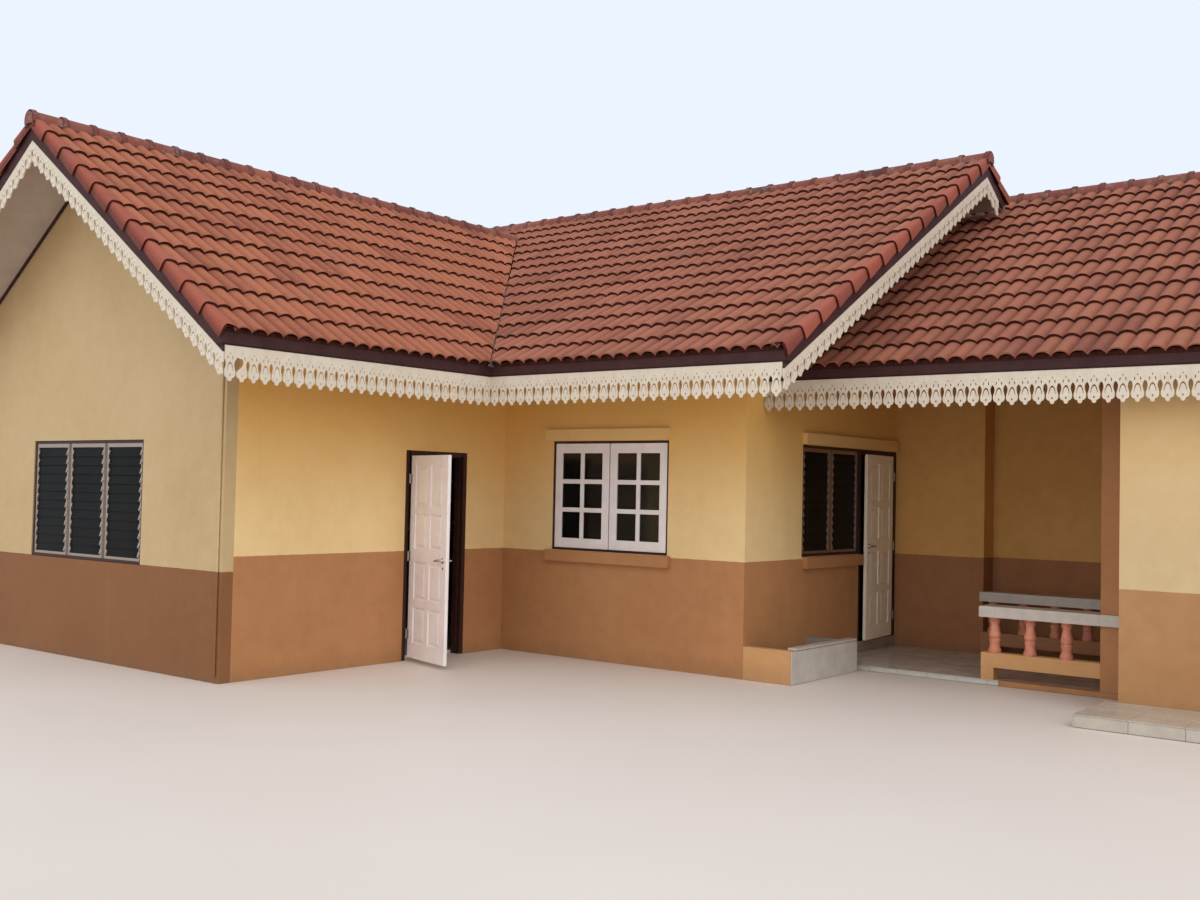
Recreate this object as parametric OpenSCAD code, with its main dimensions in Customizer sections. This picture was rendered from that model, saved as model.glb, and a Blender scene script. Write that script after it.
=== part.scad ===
// Single-storey masonry bungalow with three tiled gable roofs around a
// forecourt: a left wing whose gable end faces the front, a middle wing
// with its ridge across, and a lower right wing with a recessed porch.
// All lengths are millimetres. The layout is drawn from the inner corner of
// the forecourt at ground level (X along the window wall, Y towards the back,
// Z up) and then shifted so that the origin is the middle of the footprint.

/* [Walls] */
// Thickness of the plastered brick walls
wall_t = 120; // [100:10:160]
// How far the left wing stands forward of the window wall
wing_d = 3570; // [3000:10:4500]
// Width of the left wing over its walls
wing_w = 4240; // [3600:10:5000]
// Length of the window wall, from the inner corner to the porch side
mid_w = 3050; // [2800:10:3600]
// Back face of the house, measured from the window wall
house_d = 6480; // [6200:10:6900]
// Distance from the window wall back to the front wall of the right room
right_y = 600; // [400:10:900]
// Left face of the right room
right_x = 6240; // [6000:10:6600]
// Width of the right room
right_w = 3600; // [3000:10:4200]

/* [Porch] */
// Front edge of the porch floor
porch_y = 1400; // [1300:10:1500]
// Back wall of the porch
porch_back_y = 3250; // [3200:10:3300]
// Face of the deeper part of the porch back wall
porch_deep_y = 3520; // [3450:10:3560]
// Where the back wall steps back
porch_step_x = 4080; // [3900:10:4300]
// Height of the porch floor above the ground
porch_h = 50; // [40:5:70]
// Underside and top of the balustrade caps
cap_z0 = 630; // [600:10:660]
cap_z1 = 730; // [700:10:760]

/* [Roofs] */
// Height of the lower edge of the fascia boards
eave_h = 2800; // [2700:10:2900]
// Height of the tile tops at the very edge of the eaves
tile_edge_h = 2925; // [2900:5:2970]
// Half span of the left roof, ridge to fascia
left_run = 3050; // [2900:10:3200]
// Half span of the middle roof
mid_run = 4280; // [4100:10:4400]
// Half span of the right roof
right_run = 3720; // [3600:10:3800]
// Rise of the left roof per unit of run
left_rise = 0.697; // [0.66:0.001:0.72]
// Rise of the middle roof
mid_rise = 0.573; // [0.55:0.001:0.58]
// Rise of the right roof
right_rise = 0.588; // [0.56:0.001:0.60]
// Overhang of the middle roof in front of the window wall
mid_over = 1250; // [1200:10:1300]
// Overhang of the left wing's gable
gable_over = 710; // [600:10:750]
// Overhang of the side gables
end_over = 930; // [850:10:1000]
// Overhang of the middle roof over the right roof
mid_end_over = 1110; // [1000:10:1150]
// Drop of the lace boards below the fascia
lace_h = 280; // [240:10:300]
// How much lower the bargeboards hang than the fascia boards
rake_drop = 55; // [40:5:70]

/* [Doors] */
// Side door opened from its frame, in degrees
side_open = 106; // [0:1:160]
// Porch door opened from its frame, in degrees
porch_open = 5; // [0:1:85]
// Thickness of a door leaf
leaf_t = 35; // [32:1:40]

/* [Hidden] */

c_wall = "khaki"; c_dado = "sienna"; c_tile = "indianred"; c_board = [0.22, 0.13, 0.12];
c_lace = "ivory"; c_frame = [0.25, 0.16, 0.12]; c_leaf = "whitesmoke";

tile_t = 60;      // vertical depth of the tile layer
deck_t = 80;      // vertical depth of rafters and soffit boards
tip = 50;         // tile edge past the fascia
verge = 40;       // verge tile past the bargeboard
board_t = 20;     // fascia and bargeboard thickness
gap = 1;          // joint between solids of one node

lx = -wing_w / 2;                 // left ridge
ly = -wing_d - gable_over;        // left bargeboard plane
my = mid_run - mid_over;          // middle ridge
mx0 = lx - left_run;              // left end bargeboard plane
mx1 = mid_w + mid_end_over;       // middle right bargeboard plane
ry0 = 290;                        // right fascia plane
ry = ry0 + right_run;             // right ridge
rx1 = right_x + right_w + end_over;
back_m = my + mid_run;            // middle back fascia
back_r = ry + right_run;          // right back fascia

// footprint box of the tiles, used to centre the origin
bx0 = mx0 - verge; bx1 = rx1 + verge;
by0 = ly - verge; by1 = back_r + tip;
ox = -(bx0 + bx1) / 2; oy = -(by0 + by1) / 2;

// under-face of the deck at a distance d inside the fascia
function under(rise, d) = tile_edge_h - tile_t - deck_t + rise * (d + tip);
function tile_top(rise, d) = tile_edge_h + rise * (d + tip);

module at() { translate([ox, oy, 0]) children(); }
module box(a, b) { translate(a) cube([b[0] - a[0], b[1] - a[1], b[2] - a[2]]); }
// polygon in X and Z, given depth in Y
module xz(y0, y1, pts) { translate([0, y1, 0]) rotate([90, 0, 0]) linear_extrude(y1 - y0) polygon(pts); }
// polygon in Y and Z, given depth in X
module yz(x0, x1, pts) { translate([x0, 0, 0]) rotate([90, 0, 90]) linear_extrude(x1 - x0) polygon(pts); }

// vertical profile of one sloping layer: s = +1 rises with the coordinate
function layer(c0, c1, e, s, rise, z0, z1) =
  [[c0, z0 + rise * s * (c0 - e)], [c1, z0 + rise * s * (c1 - e)],
   [c1, z1 + rise * s * (c1 - e)], [c0, z1 + rise * s * (c0 - e)]];

// plan outline of the middle roof's front slope beside the left wing
valley_y = -mid_over + left_rise / mid_rise * left_run;

// ---------------------------------------------------------------- floors
module left_floor() { color("gray") at()
  box([-wing_w + wall_t, -wing_d + wall_t, 0], [-wall_t - gap, house_d - wall_t, 30]); }
module main_floor() { color("gray") at() {
  box([-wall_t, wall_t, 0], [mid_w - wall_t - gap, house_d - wall_t, 150]);
  box([mid_w - wall_t, porch_deep_y + wall_t, 0], [right_x + wall_t - gap, house_d - wall_t, 150]);
  box([right_x + wall_t, right_y + wall_t, 0], [right_x + right_w - wall_t, house_d - wall_t, 150]); } }
module porch_floor() { color("gainsboro") at() {
  box([mid_w, porch_y, 0], [porch_step_x - gap, porch_back_y, porch_h]);
  box([porch_step_x, porch_y, 0], [right_x, porch_deep_y, porch_h]); } }
module front_step() { color("antiquewhite") at()
  box([right_x - 100, -240, 0], [right_x + right_w, right_y, 100]); }

// ---------------------------------------------------------------- walls
module gable_wall() { color(c_wall) at() difference() {
  xz(-wing_d, -wing_d + wall_t, [[-wing_w, 0], [0, 0], [0, under(left_rise, left_run + lx) - 1],
    [lx, under(left_rise, left_run) - 1], [-wing_w, under(left_rise, left_run + lx) - 1]]);
  box([-3220, -wing_d - 1, 950], [-1250, -wing_d + wall_t + 1, 2110]); } }
side_top = under(left_rise, left_run + lx) - 8;
module side_door_wall() { color(c_wall) at() {
  box([-wall_t, -wing_d + wall_t, 0], [0, -1450, side_top]);
  box([-wall_t, -585, 0], [0, 0, side_top]); } }
module side_door_wall_head() { color(c_wall) at()
  box([-wall_t, -1450, 2090], [0, -585, side_top]); }
module window_hole(x0, y) { box([x0, y - 10, 1105], [x0 + 1475, y + wall_t + 10, 2235]); }
module window_wall() { color(c_wall) at() difference() {
  box([-wall_t, 0, 0], [mid_w, wall_t, under(mid_rise, mid_over) - 1]);
  window_hole(690, 0); } }
module recess_wall() { color(c_wall) at() difference() {
  box([mid_w - wall_t, wall_t, 0], [mid_w, 2330, 2704]);
  box([mid_w - wall_t - 1, 1080, 1105], [mid_w + 1, 2331, 2235]); } }
module recess_wall_head() { color(c_wall) at()
  box([mid_w - wall_t, 2330, 2235], [mid_w, porch_back_y, 2704]); }
module middle_gable_wall() { color(c_wall) at()
  yz(mid_w - wall_t, mid_w, [[wall_t, 2705], [wall_t, under(mid_rise, mid_over + wall_t) - 1],
    [my, under(mid_rise, mid_run) - 1], [house_d - wall_t, under(mid_rise, back_m - house_d + wall_t) - 1],
    [house_d - wall_t, 2705]]); }
module porch_back_wall() { color(c_wall) at() {
  box([mid_w - wall_t, porch_back_y, 0], [porch_step_x - wall_t - gap, porch_back_y + wall_t, 2704]);
  box([mid_w, porch_back_y, 2705], [porch_step_x - wall_t - gap, porch_back_y + wall_t, under(right_rise, porch_back_y - ry0) - 1]);
  box([porch_step_x - wall_t, porch_back_y, 0], [porch_step_x, porch_deep_y + wall_t, under(right_rise, porch_back_y - ry0) - 1]);
  box([porch_step_x + gap, porch_deep_y, 0], [right_x, porch_deep_y + wall_t, under(right_rise, porch_deep_y - ry0) - 1]); } }
module porch_side_wall() { color(c_wall) at()
  yz(right_x, right_x + wall_t, [[right_y + wall_t, 0], [porch_deep_y + wall_t, 0],
    [porch_deep_y + wall_t, under(right_rise, porch_deep_y + wall_t - ry0) - 1],
    [right_y + wall_t, under(right_rise, right_y + wall_t - ry0) - 1]]); }
module right_front_wall() { color(c_wall) at() difference() {
  box([right_x, right_y, 0], [right_x + right_w - wall_t, right_y + wall_t, under(right_rise, right_y - ry0) - 1]);
  window_hole(7500, right_y); } }
module right_gable_wall() { color(c_wall) at() difference() {
  yz(right_x + right_w - wall_t, right_x + right_w, [[right_y, 0], [right_y, under(right_rise, right_y - ry0) - 1],
    [ry, under(right_rise, right_run) - 1], [house_d, under(right_rise, back_r - house_d) - 1], [house_d, 0]]);
  box([right_x + right_w - wall_t - 1, 2555, 950], [right_x + right_w + 1, 4525, 2110]); } }
// windows of the unseen sides: left ends along each wall
back_x = [-3500, -600, 3900, 7300];
left_y = [-2600, 3300];
module back_wall() { color(c_wall) at() difference() {
  union() {
    box([-wing_w, house_d - wall_t, 0], [mid_w - gap, house_d, under(mid_rise, back_m - house_d) - 1]);
    box([mid_w, house_d - wall_t, 0], [right_x + right_w - wall_t, house_d, under(right_rise, back_r - house_d) - 1]); }
  for (x = back_x) window_hole(x, house_d - wall_t); } }
left_break = -mid_over + (side_top + 1 - under(mid_rise, 0)) / mid_rise;
module left_wall() { color(c_wall) at() difference() {
  union() {
    box([-wing_w, -wing_d + wall_t, 0], [-wing_w + wall_t, left_break - gap, side_top]);
    yz(-wing_w, -wing_w + wall_t, [[left_break, 0], [left_break, side_top],
      [my, under(mid_rise, mid_run) - 1],
      [house_d - wall_t, under(mid_rise, back_m - house_d + wall_t) - 1], [house_d - wall_t, 0]]); }
  for (y = left_y) box([-wing_w - 1, y, 1105], [-wing_w + wall_t + 1, y + 1475, 2235]); } }
module porch_pier_and_beam() { color(c_dado) at() {
  box([5860, porch_y, porch_h], [right_x, porch_y + 200, under(right_rise, porch_y - ry0) - 1]);
  box([mid_w, porch_y, under(right_rise, porch_y - ry0) - 221], [5860 - gap, porch_y + 200, under(right_rise, porch_y - ry0) - 1]); } }

// ---------------------------------------------------------------- roofs
// One sloping layer over a plan outline, as a prism cut by two planes.
// zb and zt are the heights of its faces at the fascia plane.
module slope_x(y0, y1, c0, c1, e, s, rise, zb, zt) { xz(y0, y1, layer(c0, c1, e, s, rise, zb, zt)); }
module slope_y(x0, x1, c0, c1, e, s, rise, zb, zt) { yz(x0, x1, layer(c0, c1, e, s, rise, zb, zt)); }
module prism(pts) { translate([0, 0, 1000]) linear_extrude(6000) polygon(pts); }

le = lx + left_run; lw = lx - left_run;      // left wing's fascia planes
// over: how far the layer runs past the fascia; vr: past the bargeboard plane
module left_layer(over, vr, dz0, dz1) {
  zb = eave_h + dz0; zt = eave_h + dz1;
  vy = valley_y; my0 = -mid_over;
  intersection() {
    slope_x(ly - vr, vy, lx + gap, le + over, le, -1, left_rise, zb, zt);
    prism([[lx, ly - vr - 1], [lx, vy - 2], [le - 2, my0], [le + over, my0 - over * left_rise / mid_rise], [le + over, ly - vr - 1]]); }
  intersection() {
    slope_x(ly - vr, vy, lw - over, lx - gap, lw, 1, left_rise, zb, zt);
    prism([[lx, ly - vr - 1], [lx, vy - 2], [lw + 2, my0], [lw - over, my0 - over * left_rise / mid_rise], [lw - over, ly - vr - 1]]); } }
module left_roof_deck() { color("antiquewhite") at()
  left_layer(-board_t, -board_t, under(left_rise, 0) - eave_h, under(left_rise, 0) - eave_h + deck_t - 1); }
module left_roof_tiles() { color(c_tile) at()
  left_layer(tip, verge, under(left_rise, 0) - eave_h + deck_t, under(left_rise, 0) - eave_h + deck_t + tile_t); }

module mid_layer(over, vr, dz0, dz1, y_clip) {
  zb = eave_h + dz0; zt = eave_h + dz1;
  e = -mid_over; vy = valley_y;
  // front slope, right and left of the valley
  intersection() {
    slope_y(lx + gap, mx1 + vr, e - over, my - gap, e, 1, mid_rise, zb, zt);
    prism([[lx + gap, vy + 2], [le + 2 + over, e - over * left_rise / mid_rise - 2], [mx1 + vr, e - over - 200], [mx1 + vr, my], [lx + gap, my]]); }
  intersection() {
    slope_y(mx0 - vr, lx - gap, e - over, my - gap, e, 1, mid_rise, zb, zt);
    prism([[lx - gap, vy + 2], [lw - 2 - over, e - over * left_rise / mid_rise - 2], [mx0 - vr - 1, e - over - 200], [mx0 - vr - 1, my], [lx - gap, my]]); }
  // back slope
  slope_y(mx0 - vr, mid_w, my + gap, back_m + over, back_m, -1, mid_rise, zb, zt);
  slope_y(mid_w + gap, mx1 + vr, my + gap, y_clip, back_m, -1, mid_rise, zb, zt); }
module middle_roof_deck() { color("antiquewhite") at()
  mid_layer(-board_t, -board_t, under(mid_rise, 0) - eave_h, under(mid_rise, 0) - eave_h + deck_t - 1, 3590); }
module middle_roof_tiles() { color(c_tile) at()
  mid_layer(tip, verge, under(mid_rise, 0) - eave_h + deck_t, under(mid_rise, 0) - eave_h + deck_t + tile_t, 3680); }

module right_layer(over, vr, dz0, dz1) {
  zb = eave_h + dz0; zt = eave_h + dz1;
  slope_y(mid_w + gap, rx1 + vr, ry0 - over, ry - gap, ry0, 1, right_rise, zb, zt);
  slope_y(mid_w + gap, rx1 + vr, ry + gap, back_r + over, back_r, -1, right_rise, zb, zt); }
module right_roof_deck() { color("antiquewhite") at()
  right_layer(-board_t, -board_t, under(right_rise, 0) - eave_h, under(right_rise, 0) - eave_h + deck_t - 1); }
module right_roof_tiles() { color(c_tile) at()
  right_layer(tip, verge, under(right_rise, 0) - eave_h + deck_t, under(right_rise, 0) - eave_h + deck_t + tile_t); }

// round ridge tiles, cut flat over the slopes
function cap_pts(c, z, rise) = [[c - 110, z - 110 * rise], [c - 105, z - 30], [c - 78, z + 42], [c - 32, z + 80], [c + 32, z + 80],
  [c + 78, z + 42], [c + 105, z - 30], [c + 110, z - 110 * rise], [c, z]];
module ridge_caps() { color(c_tile) at() {
  xz(ly - verge, valley_y - 145, cap_pts(lx, tile_top(left_rise, left_run) + 1, left_rise));
  yz(mx0 - verge, mx1 + verge, cap_pts(my, tile_top(mid_rise, mid_run) + 1, mid_rise));
  yz(mid_w + gap, rx1 + verge, cap_pts(ry, tile_top(right_rise, right_run) + 1, right_rise)); } }

// ---------------------------------------------------------------- boards
// chevron between two heights under a gable, half span w about c
function chevron(c, w, rise, z0, z1) = [[c - w, z0], [c, z0 + rise * w], [c + w, z0],
  [c + w, z1], [c, z1 + rise * w], [c - w, z1]];
barge_h = eave_h - rake_drop;
btop_l = under(left_rise, 0) + deck_t - 1;
btop_m = under(mid_rise, 0) + deck_t - 1;
btop_r = under(right_rise, 0) + deck_t - 1;
// part of a chevron on the back side of the middle gable, above the right roof
module eave_and_gable_boards() { color(c_board) at() {
  // left wing
  xz(ly, ly + board_t, chevron(lx, left_run, left_rise, barge_h, btop_l));
  box([le - board_t, ly + board_t, eave_h], [le, -mid_over - gap, btop_l]);
  box([lw, ly + board_t, eave_h], [lw + board_t, -mid_over - gap, btop_l]);
  // middle wing
  box([le - board_t, -mid_over, eave_h], [mx1 - board_t, -mid_over + board_t, btop_m]);
  yz(mx0, mx0 + board_t, chevron(my, mid_run, mid_rise, barge_h, btop_m));
  yz(mx1 - board_t, mx1, [[-mid_over, barge_h], [my, barge_h + mid_rise * mid_run],
    [3480, barge_h + mid_rise * (back_m - 3480)], [3590, btop_m + mid_rise * (back_m - 3590)],
    [my, btop_m + mid_rise * mid_run], [-mid_over, btop_m]]);
  box([mx0 + board_t, back_m - board_t, eave_h], [mid_w, back_m, btop_m]);
  // right wing
  box([mid_w + gap, ry0, eave_h], [rx1 - board_t, ry0 + board_t, btop_r]);
  box([mid_w + gap, back_r - board_t, eave_h], [rx1 - board_t, back_r, btop_r]);
  yz(rx1 - board_t, rx1, chevron(ry, right_run, right_rise, barge_h, btop_r));
  // closing board under the right roof's end, over the middle roof's back slope
  // in two lengths, before and behind the back wall
  end_board(4100, house_d - wall_t - gap);
  end_board(house_d + gap, back_r - board_t); } }
function end_low(y) = tile_top(mid_rise, back_m - 4100) - 80 + (y - 4100) / (back_r - board_t - 4100)
  * (under(right_rise, board_t) - 60 - tile_top(mid_rise, back_m - 4100) + 80);
module end_board(y0, y1) { yz(mid_w + gap, mid_w + board_t, [[y0, under(right_rise, back_r - y0) - 1],
  [y1, under(right_rise, back_r - y1) - 1], [y1, end_low(y1)], [y0, end_low(y0)]]); }

// pierced valance boards, here as plain bands of their outer height
lace_t = 12; rake_lace = 240;
module lace_trim() { color(c_lace) at() {
  box([le - 16, ly + 21, eave_h - lace_h], [le - 16 + lace_t, -mid_over + 16, eave_h - gap]);
  box([lw + 4, ly + 21, eave_h - lace_h], [lw + 4 + lace_t, -mid_over - 2, eave_h - gap]);
  xz(ly + 4, ly + 4 + lace_t, chevron(lx, left_run, left_rise, barge_h - rake_lace, barge_h - gap));
  box([le - 3, -mid_over + 4, eave_h - lace_h], [mx1 - 21, -mid_over + 4 + lace_t, eave_h - gap]);
  yz(mx0 + 4, mx0 + 4 + lace_t, chevron(my, mid_run, mid_rise, barge_h - rake_lace, barge_h - gap));
  yz(mx1 - 16, mx1 - 4, [[-mid_over, barge_h - rake_lace], [my, barge_h - rake_lace + mid_rise * mid_run],
    [3150, barge_h - rake_lace + mid_rise * (back_m - 3150)], [3380, barge_h + mid_rise * (back_m - 3380) - 60],
    [3380, barge_h - gap + mid_rise * (back_m - 3380)], [my, barge_h - gap + mid_rise * mid_run], [-mid_over, barge_h - gap]]);
  box([mx0 + 21, back_m - 16, eave_h - lace_h], [mid_w, back_m - 4, eave_h - gap]);
  box([mid_w + 2, ry0 + 4, eave_h - lace_h], [rx1 - 21, ry0 + 4 + lace_t, eave_h - gap]);
  box([mid_w + 2, back_r - 16, eave_h - lace_h], [rx1 - 21, back_r - 4, eave_h - gap]);
  yz(rx1 - 16, rx1 - 4, chevron(ry, right_run, right_rise, barge_h - rake_lace, barge_h - gap)); } }

// ---------------------------------------------------------------- windows
// frame of w by h in X and Z with n bays and a closed panel, depth in Y
module bays(w, h, n) { difference() {
  cube([w, 90, h]);
  for (i = [0 : n - 1]) for (y = [-1, 55]) translate([50 + i * (w - 50) / n, y, 50]) cube([(w - 50) / n - 50, 36, h - 100]); } }
module gable_window() { color(c_frame) at() translate([-3220, -wing_d + 10, 950]) bays(1970, 1160, 3); }
module recess_window() { color(c_frame) at() translate([mid_w - 10, 1080, 1105]) rotate([0, 0, 90]) bays(1249, 1130, 2); }
module front_window_frame() { color(c_frame) at() difference() {
  box([690, 5, 1105], [2165, 105, 2235]);
  box([740, 0, 1155], [2115, 110, 2185]); } }
module sash(x0, x1, z0, z1, y) { difference() {
  box([x0, y, z0], [x1, y + 35, z1]);
  box([x0 + 60, y - 1, z0 + 60], [x1 - 60, y + 36, z1 - 60]); } }
module front_window_leaves() { color(c_leaf) at() {
  sash(743, 1426, 1158, 2182, 10);
  sash(1429, 2112, 1158, 2182, 10); } }
module front_window_glass() { color("dimgray") at() {
  box([803, 24, 1218], [1366, 30, 2122]);
  box([1489, 24, 1218], [2052, 30, 2122]); } }
module closed_window(w, h) { difference() {
  cube([w, 90, h]);
  for (i = [0, 1]) translate([50 + i * (w - 50) / 2, -1, 50]) cube([(w - 50) / 2 - 50, 31, h - 100]); } }
module other_windows() { color(c_frame) at() {
  for (x = back_x) translate([x + 1475, house_d - 10, 1105]) rotate([0, 0, 180]) closed_window(1475, 1130);
  for (y = left_y) translate([-wing_w + 10, y + 1475, 1105]) rotate([0, 0, -90]) closed_window(1475, 1130);
  translate([7500, right_y + 10, 1105]) closed_window(1475, 1130);
  translate([right_x + right_w - 10, 2555, 950]) rotate([0, 0, 90]) bays(1970, 1160, 3); } }
// lintel band and sill band over and under a window of width w, proud of a wall face at y = 0
module ledges(w) {
  translate([-83, -50, 1135]) cube([w + 98, 50, 115]);
  translate([-60, -60, -115]) cube([w + 100, 60, 112]); }
module lintels_and_sills() { color(c_wall) at() {
  translate([690, 0, 1105]) ledges(1475);
  box([mid_w, 1076, 2240], [mid_w + 50, 3175, 2353]);
  box([mid_w, 1090, 990], [mid_w + 60, 2329, 1102]);
  translate([7500, right_y, 1105]) ledges(1475);
  for (x = back_x) translate([x + 1475, house_d, 1105]) rotate([0, 0, 180]) ledges(1475);
  for (y = left_y) translate([-wing_w, y + 1475, 1105]) rotate([0, 0, -90]) ledges(1475); } }

// ---------------------------------------------------------------- small masonry
module planter_box() { color(c_dado) at() {
  box([mid_w, 0, 0], [3565, 90, 305]);
  box([3475, 90 + gap, 0], [3565, 1210 - gap, 325]);
  box([mid_w, 1210, 0], [3565, 1300, 305]);
  box([mid_w, 90 + gap, 0], [3475 - gap, 1210 - gap, 60]); } }
module balustrade_bases() { color("peru") at() {
  box([4780, porch_y, porch_h], [4900, porch_y + 120, 165 - gap]);
  box([4780, porch_y, 165], [5860 - gap, porch_y + 120, 300]);
  box([4100, 3120, porch_h], [4220, 3240, 165 - gap]);
  box([4100, 3120, 165], [right_x - gap, 3240, 300]);
  box([6100, 3120, porch_h], [right_x - gap, 3240, 165 - gap]); } }
// turned vase baluster between the rail and the cap
module vase() { rotate_extrude($fn = 24) polygon([[0, 0], [52, 0], [52, 40], [46, 48], [40, 55], [50, 85], [52, 110],
  [46, 140], [36, 170], [34, 180], [44, 190], [44, 200], [34, 210], [30, 240], [34, 270], [46, 285], [46, 300], [50, 302], [50, 328], [0, 328]]); }
front_bal = [4890, 5220, 5550];
back_bal = [4220, 4550, 4880, 5210, 5540, 5870];
module balusters() { color("salmon") at() {
  for (x = front_bal) translate([x, porch_y + 60, 301]) vase();
  for (x = back_bal) translate([x, 3180, 301]) vase(); } }
module balustrade_caps() { color("lightgray") at() {
  box([4770, porch_y - 35, cap_z0], [5860 - gap, porch_y + 235, cap_z1]);
  box([5860, porch_y - 35, cap_z0], [right_x - gap, porch_y - gap, cap_z1]);
  box([4095, 3100, cap_z0], [right_x - gap, 3300, cap_z1]); } }
module corner_conduit() { color(c_wall) at() translate([-45, -wing_d - 13, 60]) cylinder(r = 12, h = 2900, $fn = 24); }

// ---------------------------------------------------------------- doors
side_ax = [8, -1403]; porch_ax = [mid_w + 8, 3183];
// frame standing in a wall: jambs from y0 to y0 + w and y1 - w to y1, then
// the head, with a rebate r deep on the outer side
module frame(x0, x1, xr, y0, y1, w0, w1, r, z0, z1, wh) {
  difference() { box([x0, y0, z0], [x1, y0 + w0, z1]);
    box([xr, y0 + w0 - r, z0 - 1], [x1 + 1, y0 + w0 + 1, z1 + 1]); }
  difference() { box([x0, y1 - w1, z0], [x1, y1, z1]);
    box([xr, y1 - w1 - 1, z0 - 1], [x1 + 1, y1 - w1 + r, z1 + 1]); }
  difference() { box([x0, y0 + w0 + gap, z1 - wh], [x1, y1 - w1 - gap, z1]);
    box([xr, y0 + w0, z1 - wh - 1], [x1 + 1, y1 - w1, z1 - wh + r - 2]); } }
module side_door_frame() { color(c_frame) at() frame(-112, -4, -51, -1450, -585, 65, 65, 15, 0, 2090, 60); }
module porch_door_frame() { color(c_frame) at() {
  frame(mid_w - 112, mid_w - 4, mid_w - 51, 2330, porch_back_y, 65, 85, 15, 166, 2234, 59);
  box([mid_w - wall_t, 2330, 0], [mid_w, porch_back_y, 165]); } }
// door leaves lie in the closed place with the hinge axis at the origin
module leaf(w, h, dir) { translate([-46, dir > 0 ? 9 : -9 - w, 0]) cube([leaf_t, w, h]);
  for (z = [180, 950, h - 280]) translate([0, 0, z]) mirror([0, dir > 0 ? 0 : 1, 0]) knuckle(); }
// hinge barrel on the axis with the flap that runs onto the leaf's face
module knuckle() {
  cylinder(r = 6, h = 100, $fn = 24);
  translate([0, 0, 5]) linear_extrude(90) polygon([[-10.5, 9], [-4.5, 4], [3, 3], [-6, 12], [-8, 16], [-8, 34], [-10.5, 34]]); }
module side_door_leaf() { color(c_leaf) at() translate([side_ax[0], side_ax[1], 38])
  rotate([0, 0, -side_open]) leaf(748, 1998, 1); }
module porch_door_leaf() { color(c_leaf) at() translate([porch_ax[0], porch_ax[1], 174])
  rotate([0, 0, porch_open]) leaf(785, 2008, -1); }
// lever handle pair: rose plates, spindle necks and levers, at distance d from the axis
module lever(d, h, dir) {
  for (s = [-1, 1]) {
    x0 = s > 0 ? -11 : -46;
    translate([x0 + s * 4, dir * d, h]) rotate([0, 90, 0]) cylinder(r = 24, h = 8, center = true, $fn = 32);
    translate([x0 + s * 28, dir * d, h]) rotate([0, 90, 0]) cylinder(r = 9, h = 42, center = true, $fn = 24);
    translate([x0 + s * 45 - 7, dir > 0 ? d - 115 : -d - 5, h - 9]) cube([14, 120, 18]); } }
module side_door_handle() { color("silver") at() translate([side_ax[0], side_ax[1], 38])
  rotate([0, 0, -side_open]) lever(700, 990, 1); }
module porch_door_handle() { color("silver") at() translate([porch_ax[0], porch_ax[1], 174])
  rotate([0, 0, porch_open]) lever(735, 1015, -1); }

left_floor();
main_floor();
porch_floor();
front_step();
gable_wall();
side_door_wall();
side_door_wall_head();
window_wall();
recess_wall();
recess_wall_head();
porch_back_wall();
porch_side_wall();
right_front_wall();
right_gable_wall();
back_wall();
left_wall();
middle_gable_wall();
porch_pier_and_beam();
left_roof_deck();
middle_roof_deck();
right_roof_deck();
left_roof_tiles();
middle_roof_tiles();
right_roof_tiles();
ridge_caps();
eave_and_gable_boards();
lace_trim();
gable_window();
recess_window();
front_window_frame();
front_window_leaves();
front_window_glass();
other_windows();
lintels_and_sills();
planter_box();
balustrade_bases();
balusters();
balustrade_caps();
corner_conduit();
side_door_frame();
porch_door_frame();
side_door_leaf();
side_door_handle();
porch_door_leaf();
porch_door_handle();
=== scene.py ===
import bpy, bmesh, math, random
from mathutils import Vector, Matrix
from mathutils.geometry import tessellate_polygon


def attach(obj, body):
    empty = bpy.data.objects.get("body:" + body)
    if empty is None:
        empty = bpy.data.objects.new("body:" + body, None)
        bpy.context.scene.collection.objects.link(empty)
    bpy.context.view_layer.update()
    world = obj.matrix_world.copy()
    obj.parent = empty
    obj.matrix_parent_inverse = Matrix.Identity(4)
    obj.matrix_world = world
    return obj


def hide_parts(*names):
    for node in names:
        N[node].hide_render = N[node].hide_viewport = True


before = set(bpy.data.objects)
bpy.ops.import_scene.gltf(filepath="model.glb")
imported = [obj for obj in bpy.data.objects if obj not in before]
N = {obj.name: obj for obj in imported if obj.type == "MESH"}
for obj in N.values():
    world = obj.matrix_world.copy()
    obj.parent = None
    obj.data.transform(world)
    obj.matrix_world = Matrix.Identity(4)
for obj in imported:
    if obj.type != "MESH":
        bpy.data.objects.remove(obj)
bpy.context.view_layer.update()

SH = Vector((-2.8, -1.730, 0.0))       # layout corner to the row frame
HOUSE = "house"

# ------------------------------------------------------------------ sizes, in metres, as in the part
LX, LY, LRUN, LRISE = -2.12, -4.28, 3.05, 0.697
MY, MRUN, MOVER, MRISE = 3.03, 4.28, 1.25, 0.573
RY0, RRUN, RRISE = 0.29, 3.72, 0.588
RY = RY0 + RRUN
MX0, MX1 = LX - LRUN, 4.16
RX1 = 6.24 + 3.6 + 0.93
BACK_M, BACK_R = MY + MRUN, RY + RRUN
EAVE, EDGE, TIP, VERGE = 2.80, 2.925, 0.05, 0.04
DROP, TILE_T = 0.055, 0.06              # bargeboards below the fascias, depth of the tile layer
VAL_Y = -MOVER + LRISE / MRISE * LRUN
LE, LW = LX + LRUN, LX - LRUN
WT = 0.12


def srgb(r, g, b):
    f = lambda c: c / 12.92 if c <= 0.04045 else ((c + 0.055) / 1.055) ** 2.4
    return (f(r / 255), f(g / 255), f(b / 255), 1.0)


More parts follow.
